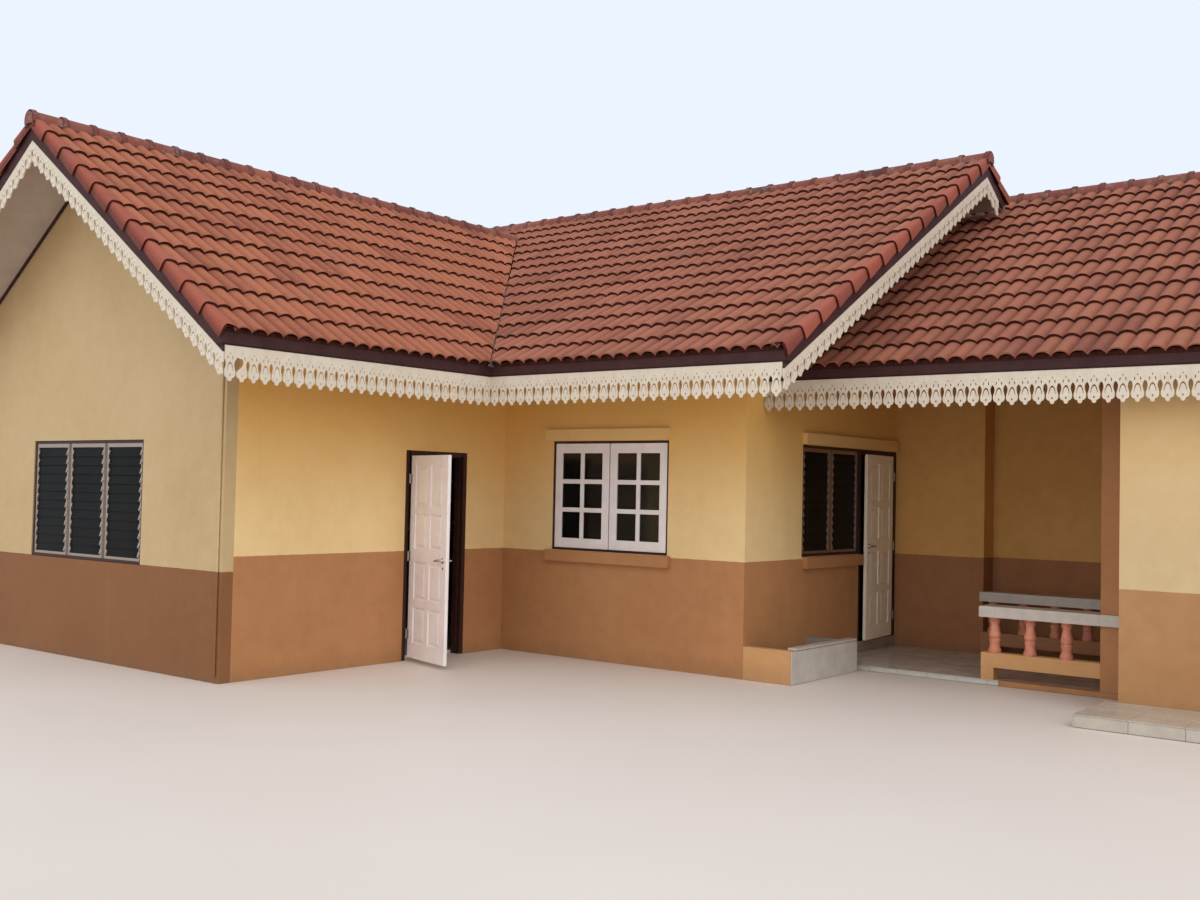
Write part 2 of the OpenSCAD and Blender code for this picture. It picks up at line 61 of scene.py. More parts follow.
# ------------------------------------------------------------------ mesh builder
class Mesh:
    """Collects vertices (layout frame), faces, material indices and a tone per face."""

    def __init__(s):
        s.v, s.f, s.m, s.t = [], [], [], []

    def add(s, verts, faces, mat=0, tone=0.5):
        b = len(s.v)
        s.v += [tuple(p) for p in verts]
        s.f += [tuple(b + i for i in f) for f in faces]
        s.m += [mat] * len(faces)
        s.t += [tone] * len(faces)

    def box(s, a, b, mat=0, tone=0.5, T=None):
        (x0, y0, z0), (x1, y1, z1) = a, b
        vs = [(x0, y0, z0), (x1, y0, z0), (x1, y1, z0), (x0, y1, z0), (x0, y0, z1), (x1, y0, z1), (x1, y1, z1), (x0, y1, z1)]
        if T is not None:
            vs = [T @ Vector(p) for p in vs]
        s.add(vs, [(3, 2, 1, 0), (4, 5, 6, 7), (0, 1, 5, 4), (1, 2, 6, 5), (2, 3, 7, 6), (3, 0, 4, 7)], mat, tone)

    def cyl(s, c, r, h, n=20, mat=0, tone=0.5, T=None, cap=True):
        """upright cylinder from c, turned by T"""
        vs = [(c[0] + r * math.cos(2 * math.pi * i / n), c[1] + r * math.sin(2 * math.pi * i / n), c[2] + k * h) for k in (0, 1) for i in range(n)]
        if T is not None:
            vs = [T @ Vector(p) for p in vs]
        fs = [(i, (i + 1) % n, n + (i + 1) % n, n + i) for i in range(n)]
        if cap:
            fs += [tuple(reversed(range(n))), tuple(range(n, 2 * n))]
        s.add(vs, fs, mat, tone)

    def lathe(s, prof, c, n=28, mat=0, tone=0.5):
        """profile of (radius, height) from the bottom up, closed at both ends"""
        vs = [(c[0] + r * math.cos(2 * math.pi * i / n), c[1] + r * math.sin(2 * math.pi * i / n), c[2] + h) for r, h in prof for i in range(n)]
        fs = []
        for k in range(len(prof) - 1):
            for i in range(n):
                j = (i + 1) % n
                fs.append((k * n + i, k * n + j, (k + 1) * n + j, (k + 1) * n + i))
        fs += [tuple(reversed(range(n))), tuple(range((len(prof) - 1) * n, len(prof) * n))]
        s.add(vs, fs, mat, tone)

    def make(s, name, mats, body=HOUSE, slot=None, replaces=(), smooth=False, bevel=0.0, segs=2, cuts=(), shift=True, auto=None):
        me = bpy.data.meshes.new(name)
        d = SH if shift else Vector((0, 0, 0))
        me.from_pydata([tuple(Vector(p) + d) for p in s.v], [], s.f)
        for m in mats:
            me.materials.append(m)
        me.polygons.foreach_set("material_index", s.m)
        at = me.attributes.new("tone", "FLOAT", "FACE")
        at.data.foreach_set("value", s.t)
        me.update()
        if cuts:
            bm = bmesh.new()
            bm.from_mesh(me)
            for co, no in cuts:
                bmesh.ops.bisect_plane(bm, geom=bm.verts[:] + bm.edges[:] + bm.faces[:], plane_co=Vector(co) + d, plane_no=Vector(no), clear_outer=True, dist=1e-5)
            bm.to_mesh(me)
            bm.free()
        me.validate()
        ob = bpy.data.objects.new(name, me)
        bpy.context.scene.collection.objects.link(ob)
        if smooth:
            me.polygons.foreach_set("use_smooth", [True] * len(me.polygons))
            if auto:
                me.set_sharp_from_angle(angle=math.radians(auto))
        if bevel:
            add_bevel(ob, bevel, segs)
        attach(ob, body)
        if replaces:
            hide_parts(*replaces)
        return ob


def add_bevel(ob, w, segs=2):
    b = ob.modifiers.new("edges", "BEVEL")
    b.width, b.segments, b.limit_method, b.angle_limit = w, segs, "ANGLE", math.radians(40)
    b.use_clamp_overlap = True
    b.harden_normals = False


# ------------------------------------------------------------------ materials
def new_mat(name, rough=0.6, spec=0.5, metallic=0.0):
    m = bpy.data.materials.new(name)
    m.use_nodes = True
    nt = m.node_tree
    p = nt.nodes["Principled BSDF"]
    p.inputs["Roughness"].default_value = rough
    p.inputs["Specular IOR Level"].default_value = spec
    p.inputs["Metallic"].default_value = metallic
    return m, nt, p


def node(nt, kind, **kw):
    n = nt.nodes.new(kind)
    for k, v in kw.items():
        if k in n.inputs.keys():
            n.inputs[k].default_value = v
        else:
            setattr(n, k, v)
    return n


def coords(nt):
    return nt.nodes.new("ShaderNodeTexCoord").outputs["Object"]


def noise(nt, vec, scale, detail=4.0, rough=0.55, dist=0.0, stretch=None):
    if stretch:
        mp = nt.nodes.new("ShaderNodeMapping")
        mp.inputs["Scale"].default_value = stretch
        nt.links.new(vec, mp.inputs["Vector"])
        vec = mp.outputs["Vector"]
    n = nt.nodes.new("ShaderNodeTexNoise")
    n.inputs["Scale"].default_value = scale
    n.inputs["Detail"].default_value = detail
    n.inputs["Roughness"].default_value = rough
    n.inputs["Distortion"].default_value = dist
    nt.links.new(vec, n.inputs["Vector"])
    return n.outputs["Fac"]


def ramp(nt, fac, stops, interp="LINEAR"):
    r = nt.nodes.new("ShaderNodeValToRGB")
    r.color_ramp.interpolation = interp
    e = r.color_ramp.elements
    while len(e) < len(stops):
        e.new(0.5)
    for el, (p, c) in zip(e, stops):
        el.position = p
        el.color = c if len(c) == 4 else (*c, 1.0)
    nt.links.new(fac, r.inputs["Fac"])
    return r.outputs["Color"]


def gray(v):
    return (v, v, v, 1.0)


def mix(nt, fac, a, b, mode="MIX"):
    n = nt.nodes.new("ShaderNodeMix")
    n.data_type, n.blend_type = "RGBA", mode
    if hasattr(fac, "is_linked") or hasattr(fac, "links"):
        nt.links.new(fac, n.inputs[0])
    else:
        n.inputs[0].default_value = fac
    for sock, v in ((n.inputs[6], a), (n.inputs[7], b)):
        if isinstance(v, tuple):
            sock.default_value = v
        else:
            nt.links.new(v, sock)
    return n.outputs[2]


def math_(nt, op, a, b=None, c=None):
    n = nt.nodes.new("ShaderNodeMath")
    n.operation = op
    for i, v in enumerate((a, b, c)):
        if v is None:
            continue
        if isinstance(v, (int, float)):
            n.inputs[i].default_value = v
        else:
            nt.links.new(v, n.inputs[i])
    return n.outputs[0]


def maprange(nt, v, a, b, lo=0.0, hi=1.0):
    n = nt.nodes.new("ShaderNodeMapRange")
    n.interpolation_type = "SMOOTHSTEP"
    nt.links.new(v, n.inputs["Value"])
    n.inputs["From Min"].default_value, n.inputs["From Max"].default_value = a, b
    n.inputs["To Min"].default_value, n.inputs["To Max"].default_value = lo, hi
    return n.outputs["Result"]


def bump(nt, p, h, strength, dist, prev=None):
    b = nt.nodes.new("ShaderNodeBump")
    b.inputs["Strength"].default_value = strength
    b.inputs["Distance"].default_value = dist
    nt.links.new(h, b.inputs["Height"])
    if prev is not None:
        nt.links.new(prev, b.inputs["Normal"])
    nt.links.new(b.outputs["Normal"], p.inputs["Normal"])
    return b.outputs["Normal"]


UPPER, UPPER2 = srgb(236, 205, 151), srgb(226, 192, 134)
DADO, DADO2 = srgb(184, 131, 86), srgb(169, 116, 74)


def plaster(name, line, upper=(UPPER, UPPER2), lower=(DADO, DADO2), eave=0.0, rear=None):
    """painted render, the lower colour under the height line"""
    m, nt, p = new_mat(name, 0.72, 0.3)
    co = coords(nt)
    sep = nt.nodes.new("ShaderNodeSeparateXYZ")
    nt.links.new(co, sep.inputs[0])
    z = sep.outputs["Z"]
    big = noise(nt, co, 0.9, 3.0, 0.5)
    mid = noise(nt, co, 7.0, 5.0, 0.6)
    fine = noise(nt, co, 160.0, 3.0, 0.6)
    up = ramp(nt, mix(nt, 0.45, big, mid), [(0.30, upper[1]), (0.62, upper[0])])
    lo = ramp(nt, mix(nt, 0.5, big, mid), [(0.30, lower[1]), (0.64, lower[0])])
    edge = math_(nt, "ADD", z, math_(nt, "MULTIPLY", math_(nt, "SUBTRACT", noise(nt, co, 14.0, 2.0), 0.5), 0.006))
    col = mix(nt, maprange(nt, edge, line - 0.0015, line + 0.0015), lo, up)
    if eave:   # painted shade: towards the eaves the colour deepens to a saturated ochre, for the shade and warm bounced light under them
        col = mix(nt, maprange(nt, z, 1.15, 2.8, 0.0, eave), col, srgb(236, 174, 66))
    if rear:     # another coat further back
        col = mix(nt, maprange(nt, sep.outputs["Y"], 0.4, 0.8), col, rear)
    # splash dirt low down and faint runs
    darkening = math_(nt, "MULTIPLY", maprange(nt, z, 0.0, 0.22, 0.5, 0.0), noise(nt, co, 9.0, 5.0, 0.7))
    col = mix(nt, darkening, col, srgb(120, 92, 66))
    runs = math_(nt, "MULTIPLY", maprange(nt, noise(nt, co, 5.0, 4.0, 0.6, 0.0, (1.0, 1.0, 0.06)), 0.56, 0.78, 0.0, 0.16), maprange(nt, z, 0.8, 2.8, 0.35, 1.0))
    col = mix(nt, runs, col, srgb(190, 158, 104))
    nt.links.new(col, p.inputs["Base Color"])
    nt.links.new(math_(nt, "ADD", math_(nt, "MULTIPLY", mid, 0.18), 0.6), p.inputs["Roughness"])
    b = bump(nt, p, fine, 0.12, 0.002)
    bump(nt, p, noise(nt, co, 3.0, 3.0, 0.5), 0.35, 0.006, b)
    return m


def painted(name, a, b, rough=0.5, grain=(30, 30, 4), gs=0.25, spec=0.4, wear=None, scale=6.0, shade=None):
    """painted timber: faint grain, uneven gloss, a little wear on noise; shade is the height of a painted shadow line
    along the lower edge
    """
    m, nt, p = new_mat(name, rough, spec)
    co = coords(nt)
    g = noise(nt, co, 6.0, 6.0, 0.65, 0.4, grain)
    n1 = noise(nt, co, scale, 5.0, 0.6)
    col = ramp(nt, mix(nt, 0.4, n1, g), [(0.32, b), (0.66, a)])
    if wear:
        col = mix(nt, maprange(nt, noise(nt, co, 38.0, 6.0, 0.75), 0.64, 0.72, 0.0, 0.7), col, wear)
    # painted shadow: a near-black band within about 2 cm of this height
    if shade:
        sep = nt.nodes.new("ShaderNodeSeparateXYZ")
        nt.links.new(co, sep.inputs[0])
        e = math_(nt, "ABSOLUTE", math_(nt, "SUBTRACT", sep.outputs["Z"], shade))
        col = mix(nt, maprange(nt, e, 0.008, 0.020, 0.75, 0.0), col, srgb(28, 16, 14))
    nt.links.new(col, p.inputs["Base Color"])
    nt.links.new(math_(nt, "ADD", math_(nt, "MULTIPLY", n1, 0.22), rough - 0.1), p.inputs["Roughness"])
    bump(nt, p, g, gs, 0.0012)
    return m


def roof_tile(name, stops, patches=None):
    m, nt, p = new_mat(name, 0.8, 0.25)
    co = coords(nt)
    at = nt.nodes.new("ShaderNodeAttribute")
    at.attribute_name = "tone"
    tone = at.outputs["Fac"]
    n1 = noise(nt, co, 7.0, 6.0, 0.75)
    n2 = noise(nt, co, 42.0, 5.0, 0.7)
    base = ramp(nt, math_(nt, "ADD", math_(nt, "MULTIPLY", tone, 0.66), math_(nt, "MULTIPLY", n1, 0.34)), stops)
    col = mix(nt, maprange(nt, n2, 0.45, 0.75, 0.0, 0.30), base, srgb(112, 66, 52))
    col = mix(nt, maprange(nt, noise(nt, co, 1.3, 6.0, 0.72), 0.56, 0.74, 0.0, 0.40), col, srgb(118, 86, 78))
    col = mix(nt, maprange(nt, noise(nt, co, 90.0, 3.0, 0.6), 0.63, 0.72, 0.0, 0.4), col, srgb(184, 136, 116))
    if patches:   # grey mottles of mortar and lichen
        col = mix(nt, maprange(nt, noise(nt, co, 11.0, 6.0, 0.75), 0.52, 0.64, 0.0, patches[1]), col, patches[0])
    nt.links.new(col, p.inputs["Base Color"])
    bump(nt, p, n2, 0.35, 0.003)
    return m


M_WALL = plaster("plaster_house", 1.087, eave=0.72)
# painted shade: the left gable wall takes a darker copy of the house paint, upper coat and dado, for the shade over
# that wall
M_GABLE_SHADED = plaster("plaster_left_gable_shaded", 0.957, (srgb(199, 173, 130), srgb(189, 160, 114)), (srgb(140, 94, 58), srgb(128, 82, 49)))
# painted shade: the right room's front wall takes a darker copy of the house paint, for less light on it
M_RIGHT_SHADED = plaster("plaster_right_room_shaded", 1.018, (srgb(214, 188, 145), srgb(205, 176, 128)), (srgb(184, 138, 92), srgb(170, 122, 79)), 0.3)
M_DADO = plaster("plaster_brown", 9.0)
M_LEDGE = plaster("plaster_ledges", 1.5, eave=0.45)
M_TAN = plaster("plaster_tan", 9.0, lower=(srgb(206, 157, 106), srgb(192, 142, 92)), rear=srgb(166, 114, 80))
M_BOARD = painted("boards_maroon", srgb(76, 46, 46), srgb(54, 30, 31), 0.62, (3, 3, 30), 0.3, 0.18, shade=EAVE)
# painted shade: the porch walls take a deeper, darker copy of the house paint for the porch's deep shade
M_PORCH_SHADED = plaster("plaster_porch_shaded", 1.087, (srgb(220, 168, 98), srgb(206, 152, 82)), (srgb(168, 116, 77), srgb(153, 101, 64)))
M_SOFFIT = painted("soffit_offwhite", srgb(190, 173, 158), srgb(172, 155, 142), 0.65, (20, 20, 20), 0.12, 0.3)
M_LACE = painted("lace_cream", srgb(222, 210, 192), srgb(206, 192, 170), 0.5, (25, 25, 6), 0.2, 0.35, scale=12.0)
M_FRAME = painted("frame_dark", srgb(70, 38, 32), srgb(42, 22, 20), 0.5, (30, 30, 5), 0.25, 0.3)
M_WHITE = painted("white_gloss", srgb(247, 239, 237), srgb(232, 222, 219), 0.38, (30, 30, 4), 0.14, 0.5, scale=8.0)
# painted reflected light: the porch door's white is tinted warm for the ochre light bounced from the porch walls
M_WHITE_PORCH_BOUNCE = painted("white_gloss_porch_bounce", srgb(250, 238, 214), srgb(235, 220, 194), 0.38, (30, 30, 4), 0.14, 0.5, scale=8.0)
M_TILE = roof_tile("roof_tile_clay", [(0.05, srgb(104, 56, 44)), (0.30, srgb(142, 80, 58)), (0.55, srgb(168, 100, 71)), (0.80, srgb(176, 108, 82))])
M_TILE2 = roof_tile("roof_tile_clay_middle", [(0.05, srgb(96, 56, 46)), (0.30, srgb(132, 77, 60)), (0.55, srgb(157, 96, 73)), (0.80, srgb(168, 107, 84))])
M_VERGE = roof_tile("roof_tile_verge", [(0.0, srgb(62, 34, 30)), (0.22, srgb(124, 64, 53)), (0.5, srgb(158, 84, 66)), (0.85, srgb(170, 98, 78))])
M_RIDGE = roof_tile("roof_tile_ridge", [(0.15, srgb(92, 54, 50)), (0.5, srgb(134, 76, 65)), (0.85, srgb(156, 94, 78))], (srgb(140, 116, 108), 0.8))


def butt_shade_mat():
    # painted shade: near-black clay for the tiles' butts and undersides, the ridge tiles' open ends, the battens and
    # the valley sheets, standing for the shade under and between the tiles
    m, nt, p = new_mat("roof_tile_edge_shade", 0.9, 0.1)
    col = ramp(nt, noise(nt, coords(nt), 30.0, 4.0, 0.6), [(0.3, srgb(48, 25, 21)), (0.7, srgb(86, 44, 35))])
    nt.links.new(col, p.inputs["Base Color"])
    return m


M_BUTT_SHADE = butt_shade_mat()


def plain(name, a, b, rough, scale=30.0, bs=0.2):
    m, nt, p = new_mat(name, rough, 0.2)
    n = noise(nt, coords(nt), scale, 4.0, 0.6)
    nt.links.new(ramp(nt, n, [(0.3, b), (0.7, a)]), p.inputs["Base Color"])
    bump(nt, p, n, bs, 0.002)
    return m


M_NOSE = plain("roof_tile_nose", srgb(150, 92, 72), srgb(118, 66, 52), 0.85)
M_MORTAR = plain("ridge_mortar", srgb(104, 72, 66), srgb(70, 44, 42), 0.9)


def glass_dark(name="glass_unlit_interior", rough=0.05, spec=0.5):
    # painted shade: opaque near-black panes and blades stand in for the unlit rooms seen through the glass
    m, nt, p = new_mat(name, rough, spec)
    co = coords(nt)
    col = ramp(nt, noise(nt, co, 2.0, 3.0, 0.5), [(0.3, srgb(12, 12, 11)), (0.7, srgb(24, 23, 21))])
    nt.links.new(col, p.inputs["Base Color"])
    nt.links.new(math_(nt, "ADD", math_(nt, "MULTIPLY", noise(nt, co, 9.0, 4.0, 0.6), 0.10), rough), p.inputs["Roughness"])
    bump(nt, p, noise(nt, co, 1.2, 2.0, 0.5), 0.10, 0.01)
    return m


def metal(name, col, rough, scale=60.0):
    m, nt, p = new_mat(name, rough, 0.5, 1.0)
    co = coords(nt)
    n = noise(nt, co, scale, 4.0, 0.6)
    c2 = tuple(x * 0.78 for x in col[:3]) + (1.0,)
    nt.links.new(ramp(nt, n, [(0.3, c2), (0.7, col)]), p.inputs["Base Color"])
    nt.links.new(math_(nt, "ADD", math_(nt, "MULTIPLY", n, 0.2), rough - 0.08), p.inputs["Roughness"])
    bump(nt, p, n, 0.04, 0.0005)
    return m


M_GLASS = glass_dark()
M_BLADE = glass_dark("glass_louvre", 0.30, 0.06)
M_CHROME = metal("handle_chrome", srgb(205, 202, 196), 0.16)
M_ALU = metal("louvre_aluminium", srgb(178, 166, 154), 0.45)
M_POST = painted("louvre_posts", srgb(118, 100, 88), srgb(98, 80, 70), 0.5, (30, 30, 4), 0.15, 0.3)


def stone(name, stops, rough, scale, speck=None, bs=0.15):
    m, nt, p = new_mat(name, rough, 0.5)
    co = coords(nt)
    n = noise(nt, co, scale, 6.0, 0.65)
    col = ramp(nt, n, stops)
    if speck:
        v = nt.nodes.new("ShaderNodeTexVoronoi")
        v.inputs["Scale"].default_value = speck[0]
        nt.links.new(co, v.inputs["Vector"])
        col = mix(nt, maprange(nt, v.outputs["Distance"], 0.12, 0.32, 0.75, 0.0), col, speck[1])
    nt.links.new(col, p.inputs["Base Color"])
    nt.links.new(math_(nt, "ADD", math_(nt, "MULTIPLY", n, 0.15), rough - 0.07), p.inputs["Roughness"])
    bump(nt, p, noise(nt, co, scale * 6, 3.0, 0.6), bs, 0.001)
    return m


M_CAP = stone("terrazzo_cap", [(0.3, srgb(188, 178, 167)), (0.7, srgb(206, 196, 184))], 0.4, 9.0, (210.0, srgb(156, 145, 135)))
M_BALU = stone("baluster_salmon", [(0.3, srgb(196, 120, 92)), (0.7, srgb(222, 150, 120))], 0.6, 18.0)
M_STEP = stone("tile_beige", [(0.3, srgb(180, 169, 155)), (0.7, srgb(196, 186, 173))], 0.26, 5.0, (140.0, srgb(176, 165, 151)), 0.05)
M_PTILE = stone("tile_white", [(0.3, srgb(182, 174, 164)), (0.7, srgb(200, 193, 184))], 0.2, 6.0, None, 0.04)
M_RISER = stone("tile_riser", [(0.3, srgb(138, 118, 103)), (0.7, srgb(156, 136, 120))], 0.2, 6.0, None, 0.04)
M_GROUT = stone("grout", [(0.3, srgb(128, 122, 112)), (0.7, srgb(150, 144, 134))], 0.9, 40.0)
M_CONC = stone("concrete", [(0.3, srgb(150, 146, 138)), (0.7, srgb(176, 172, 162))], 0.85, 12.0)


def floor_tiles():
    """inside floors: glazed squares with joints"""
    m, nt, p = new_mat("floor_glazed", 0.25, 0.5)
    co = coords(nt)
    br = nt.nodes.new("ShaderNodeTexBrick")
    br.offset = 0.0
    br.inputs["Scale"].default_value = 1.0
    br.inputs["Brick Width"].default_value = 0.4
    br.inputs["Row Height"].default_value = 0.4
    br.inputs["Mortar Size"].default_value = 0.003
    br.inputs["Color1"].default_value = srgb(206, 198, 184)
    br.inputs["Color2"].default_value = srgb(214, 208, 196)
    br.inputs["Mortar"].default_value = srgb(140, 132, 120)
    nt.links.new(co, br.inputs["Vector"])
    n = noise(nt, co, 4.0, 5.0, 0.6)
    nt.links.new(mix(nt, maprange(nt, n, 0.4, 0.7, 0.0, 0.25), br.outputs["Color"], srgb(188, 178, 162)), p.inputs["Base Color"])
    bump(nt, p, br.outputs["Fac"], 0.3, -0.002)
    return m


M_FLOOR = floor_tiles()


def use(name, mat, bevel=0.0):
    o = N[name]
    o.data.materials.clear() if not o.data.materials else None
    if o.data.materials:
        for i in range(len(o.data.materials)):
            o.data.materials[i] = mat
    else:
        o.data.materials.append(mat)
    for sl in o.material_slots:
        sl.material = mat
    if bevel:
        add_bevel(o, bevel)


for n_ in ("porch_back_wall", "porch_side_wall"):
    use(n_, M_PORCH_SHADED)
for n_ in ("side_door_wall", "side_door_wall_head", "window_wall", "recess_wall", "recess_wall_head", "right_gable_wall", "back_wall", "left_wall", "middle_gable_wall"):
    use(n_, M_WALL)
use("gable_wall", M_GABLE_SHADED)
use("right_front_wall", M_RIGHT_SHADED)
use("porch_pier_and_beam", M_DADO, 0.004)
use("lintels_and_sills", M_LEDGE, 0.005)
use("balustrade_bases", M_TAN, 0.004)
use("balustrade_caps", M_CAP, 0.007)
for n_ in ("left_roof_deck", "middle_roof_deck", "right_roof_deck"):
    use(n_, M_SOFFIT)
use("eave_and_gable_boards", M_BOARD, 0.004)
use("left_floor", M_FLOOR)
use("main_floor", M_FLOOR)
use("side_door_frame", M_FRAME, 0.003)
use("porch_door_frame", M_FRAME, 0.003)

# ------------------------------------------------------------------ roof tiles
COVER = 2                                # waves to a tile


def wave(t):
    """height of the tile's top over its trough, 0 to 1: broad round crests between narrow troughs"""
    f = t - math.floor(t + 0.5)
    return 1.0 - abs(2 * f) ** 2.2


def slope_tiles(name, org, ud, dd, rise, u0, u1, run, gauge, node_name, pitch, crest, cuts=(), seed=1, nseg=12):
    """Waved tiles over one slope. org is the fascia line's point at u = 0 in plan, ud and dd the plan directions
    along the eave and up the slope, crest the place of one crest along u, gauge the exposed lengths of the courses."""
    rnd = random.Random(seed)
    cs, sn = 1 / math.hypot(1, rise), rise / math.hypot(1, rise)
    L = (run + TIP) / cs
    AMP, STEP = 0.033, 0.029
    i0, i1 = math.floor((u0 - crest) / pitch * nseg), math.ceil((u1 - crest) / pitch * nseg)
    us = [max(u0, min(u1, crest + i * pitch / nseg)) for i in range(i0, i1 + 1)]
    ph = [(u - crest) / pitch for u in us]
    n = len(us)
    M = Mesh()

    def P(u, s, off):
        d = max(-TIP, -TIP + s * cs - off * sn)
        z = EDGE + s * sn + off * cs
        return (org[0] + ud[0] * u + dd[0] * d, org[1] + ud[1] * u + dd[1] * d, z)

    flip = (ud[0] * dd[1] - ud[1] * dd[0]) < 0
    s0 = 0.0
    k = 0
    while s0 < L - 0.01:
        g = min(gauge[min(k, len(gauge) - 1)], L - s0)
        last = s0 + g >= L - 0.01
        s1 = L if last else s0 + g + 0.012
        half = 1 if k % 2 else 0
        jit, tones, tilt = {}, {}, {}

        def tile(t):
            q = math.floor((t + 0.5 + half + 1e-6) / COVER)
            if q not in jit:
                jit[q], tilt[q], tones[q] = rnd.uniform(-0.0015, 0.0015), rnd.uniform(-0.003, 0.003), min(1.0, max(0.0, rnd.gauss(0.53, 0.10)))
            return q

        vs = []
        for s_, lift in ((s0, -0.0015), (s0 + 0.010, 0.0), (s1, -STEP)):
            for u, t in zip(us, ph):
                q = tile(t)
                e = 1 - (s_ - s0) / g
                vs.append(P(u, s_ + (tilt[q] * e if 0 < k else 0.0), AMP * wave(t) + lift + jit[q] * max(0.0, e)))
        for u, t in zip(us, ph):
            th = 0.0285 if k else 0.012 + 0.012 * (1 - wave(t)) ** 2
            vs.append(P(u, s0 + 0.0015, AMP * wave(t) - th))
        for u, t in zip(us, ph):
            th = 0.0295 if k else 0.013 + 0.012 * (1 - wave(t)) ** 2
            vs.append(P(u, s0 + (0.03 if k else 0.12), AMP * wave(t) - th))
        fs, mt, tn = [], [], []
        for i in range(n - 1):
            if us[i + 1] - us[i] < 1e-5:
                continue
            pm = (ph[i] + ph[i + 1]) / 2
            # painted shade: faces darken towards each trough, on top of the tile's random tone
            to = max(0.0, tones[tile(pm)] + 0.04 - 0.42 * (1 - wave(pm)))
            for a in (0, 1):
                fs.append((a * n + i, a * n + i + 1, (a + 1) * n + i + 1, (a + 1) * n + i)); mt.append(0); tn.append(to)
            fs.append((3 * n + i, 3 * n + i + 1, i + 1, i)); mt.append(1 if k else 2); tn.append(0.2)
            fs.append((4 * n + i, 4 * n + i + 1, 3 * n + i + 1, 3 * n + i)); mt.append(1); tn.append(0.2)
        b = len(M.v)
        M.v += vs
        for f in fs:
            M.f.append(tuple(b + x for x in (reversed(f) if flip else f)))
        M.m += mt
        M.t += tn
        s0 += g
        k += 1
    mat = M_TILE if name.startswith("left") else M_TILE2
    ob = M.make(name, [mat, M_BUTT_SHADE, M_NOSE], slot="roof_tile", replaces=(node_name,), smooth=True, cuts=cuts)
    ob.data.set_sharp_from_angle(angle=math.radians(58))
    return ob


def verge_tiles(name, org, ud, dd, rise, edge, out, run, gauge, node_name, seed=1, s_from=0.0, darkening=0.2):
    """Edge tiles along a rake, flat on top with a round shoulder and a skirt down over the bargeboard:
    edge is the board's plane along ud, out the sign away from the roof."""
    rnd = random.Random(seed)
    cs, sn = 1 / math.hypot(1, rise), rise / math.hypot(1, rise)
    L = (run + TIP) / cs
    # painted shade: the skirt's lowest rows of faces darken towards its foot, weighted by these steps
    fade = {8: 0.15, 9: 0.4, 10: 0.75, 11: 1.0}
    prof = [(-0.112, -0.003), (-0.104, 0.009), (-0.090, 0.021), (-0.068, 0.031), (-0.038, 0.036), (-0.006, 0.037), (0.012, 0.033),
            (0.024, 0.024), (0.032, 0.010), (0.0365, -0.010), (0.038, -0.036), (0.0385, -0.064), (0.0385, -0.092)]
    n = len(prof)
    inner = []
    for i, (w, h) in enumerate(prof):
        a, b = prof[max(0, i - 1)], prof[min(n - 1, i + 1)]
        tx, th = b[0] - a[0], b[1] - a[1]
        ln = math.hypot(tx, th)
        inner.append((w + th / ln * 0.024, h - tx / ln * 0.024))
    M = Mesh()

    def P(w, s, off):
        d = max(-TIP, -TIP + s * cs - off * sn)
        u = edge + out * w
        return (org[0] + ud[0] * u + dd[0] * d, org[1] + ud[1] * u + dd[1] * d, EDGE + s * sn + off * cs)

    flip = ((ud[0] * dd[1] - ud[1] * dd[0]) * out) < 0
    s0, k = 0.0, 0
    while s0 < L - 0.05:
        g = min(gauge[min(k, len(gauge) - 1)], L - s0)
        if L - s0 - g < 0.14:
            g = L - s0
        s1 = min(s0 + g + 0.02, L)
        a0 = s0
        if s1 > s_from:
            a0 = max(s0, s_from)
            tone = min(1.0, max(0.0, rnd.gauss(0.5, 0.13)))
            j = rnd.uniform(-0.0008, 0.0)
            vs = []
            for i, (w, h) in enumerate(prof):
                vs.append(P(w + j - (0.001 if i > 4 else 0), a0, h - 0.001))
            for w, h in prof:
                vs.append(P(w + j, a0 + 0.010, h))
            for i, (w, h) in enumerate(prof):   # the far end lies one thickness deeper, all round
                vs.append(P(inner[i][0] + j, s1, inner[i][1] + (0.012 if i == n - 1 else 0.0)))
            for i, (w, h) in enumerate(inner):
                vs.append(P(w + j, a0 + 0.001, h))
            for i, (w, h) in enumerate(inner):
                vs.append(P(w + j, a0 + 0.10, h))
            fs, mt, tn = [], [], []
            for i in range(n - 1):
                for q in range(2):
                    fs.append((q * n + i, q * n + i + 1, (q + 1) * n + i + 1, (q + 1) * n + i)); mt.append(0)
                    tn.append(max(0.0, tone - darkening * fade.get(i, 0.0)))
                fs.append((3 * n + i, 3 * n + i + 1, i + 1, i)); mt.append(1)
                fs.append((4 * n + i, 4 * n + i + 1, 3 * n + i + 1, 3 * n + i)); mt.append(1)
                tn += [tone, tone]
            # foot of the skirt
            fs += [(n - 1, 4 * n - 1, 5 * n - 1, 2 * n - 1)]; mt.append(1); tn.append(tone)
            b = len(M.v)
            M.v += vs
            for f in fs:
                M.f.append(tuple(b + x for x in (reversed(f) if flip else f)))
            M.m += mt
            M.t += tn
        s0 += g
        k += 1
    ob = M.make(name, [M_VERGE, M_BUTT_SHADE], slot="roof_tile", replaces=(node_name,), smooth=True)
    ob.data.set_sharp_from_angle(angle=math.radians(55))
    return ob


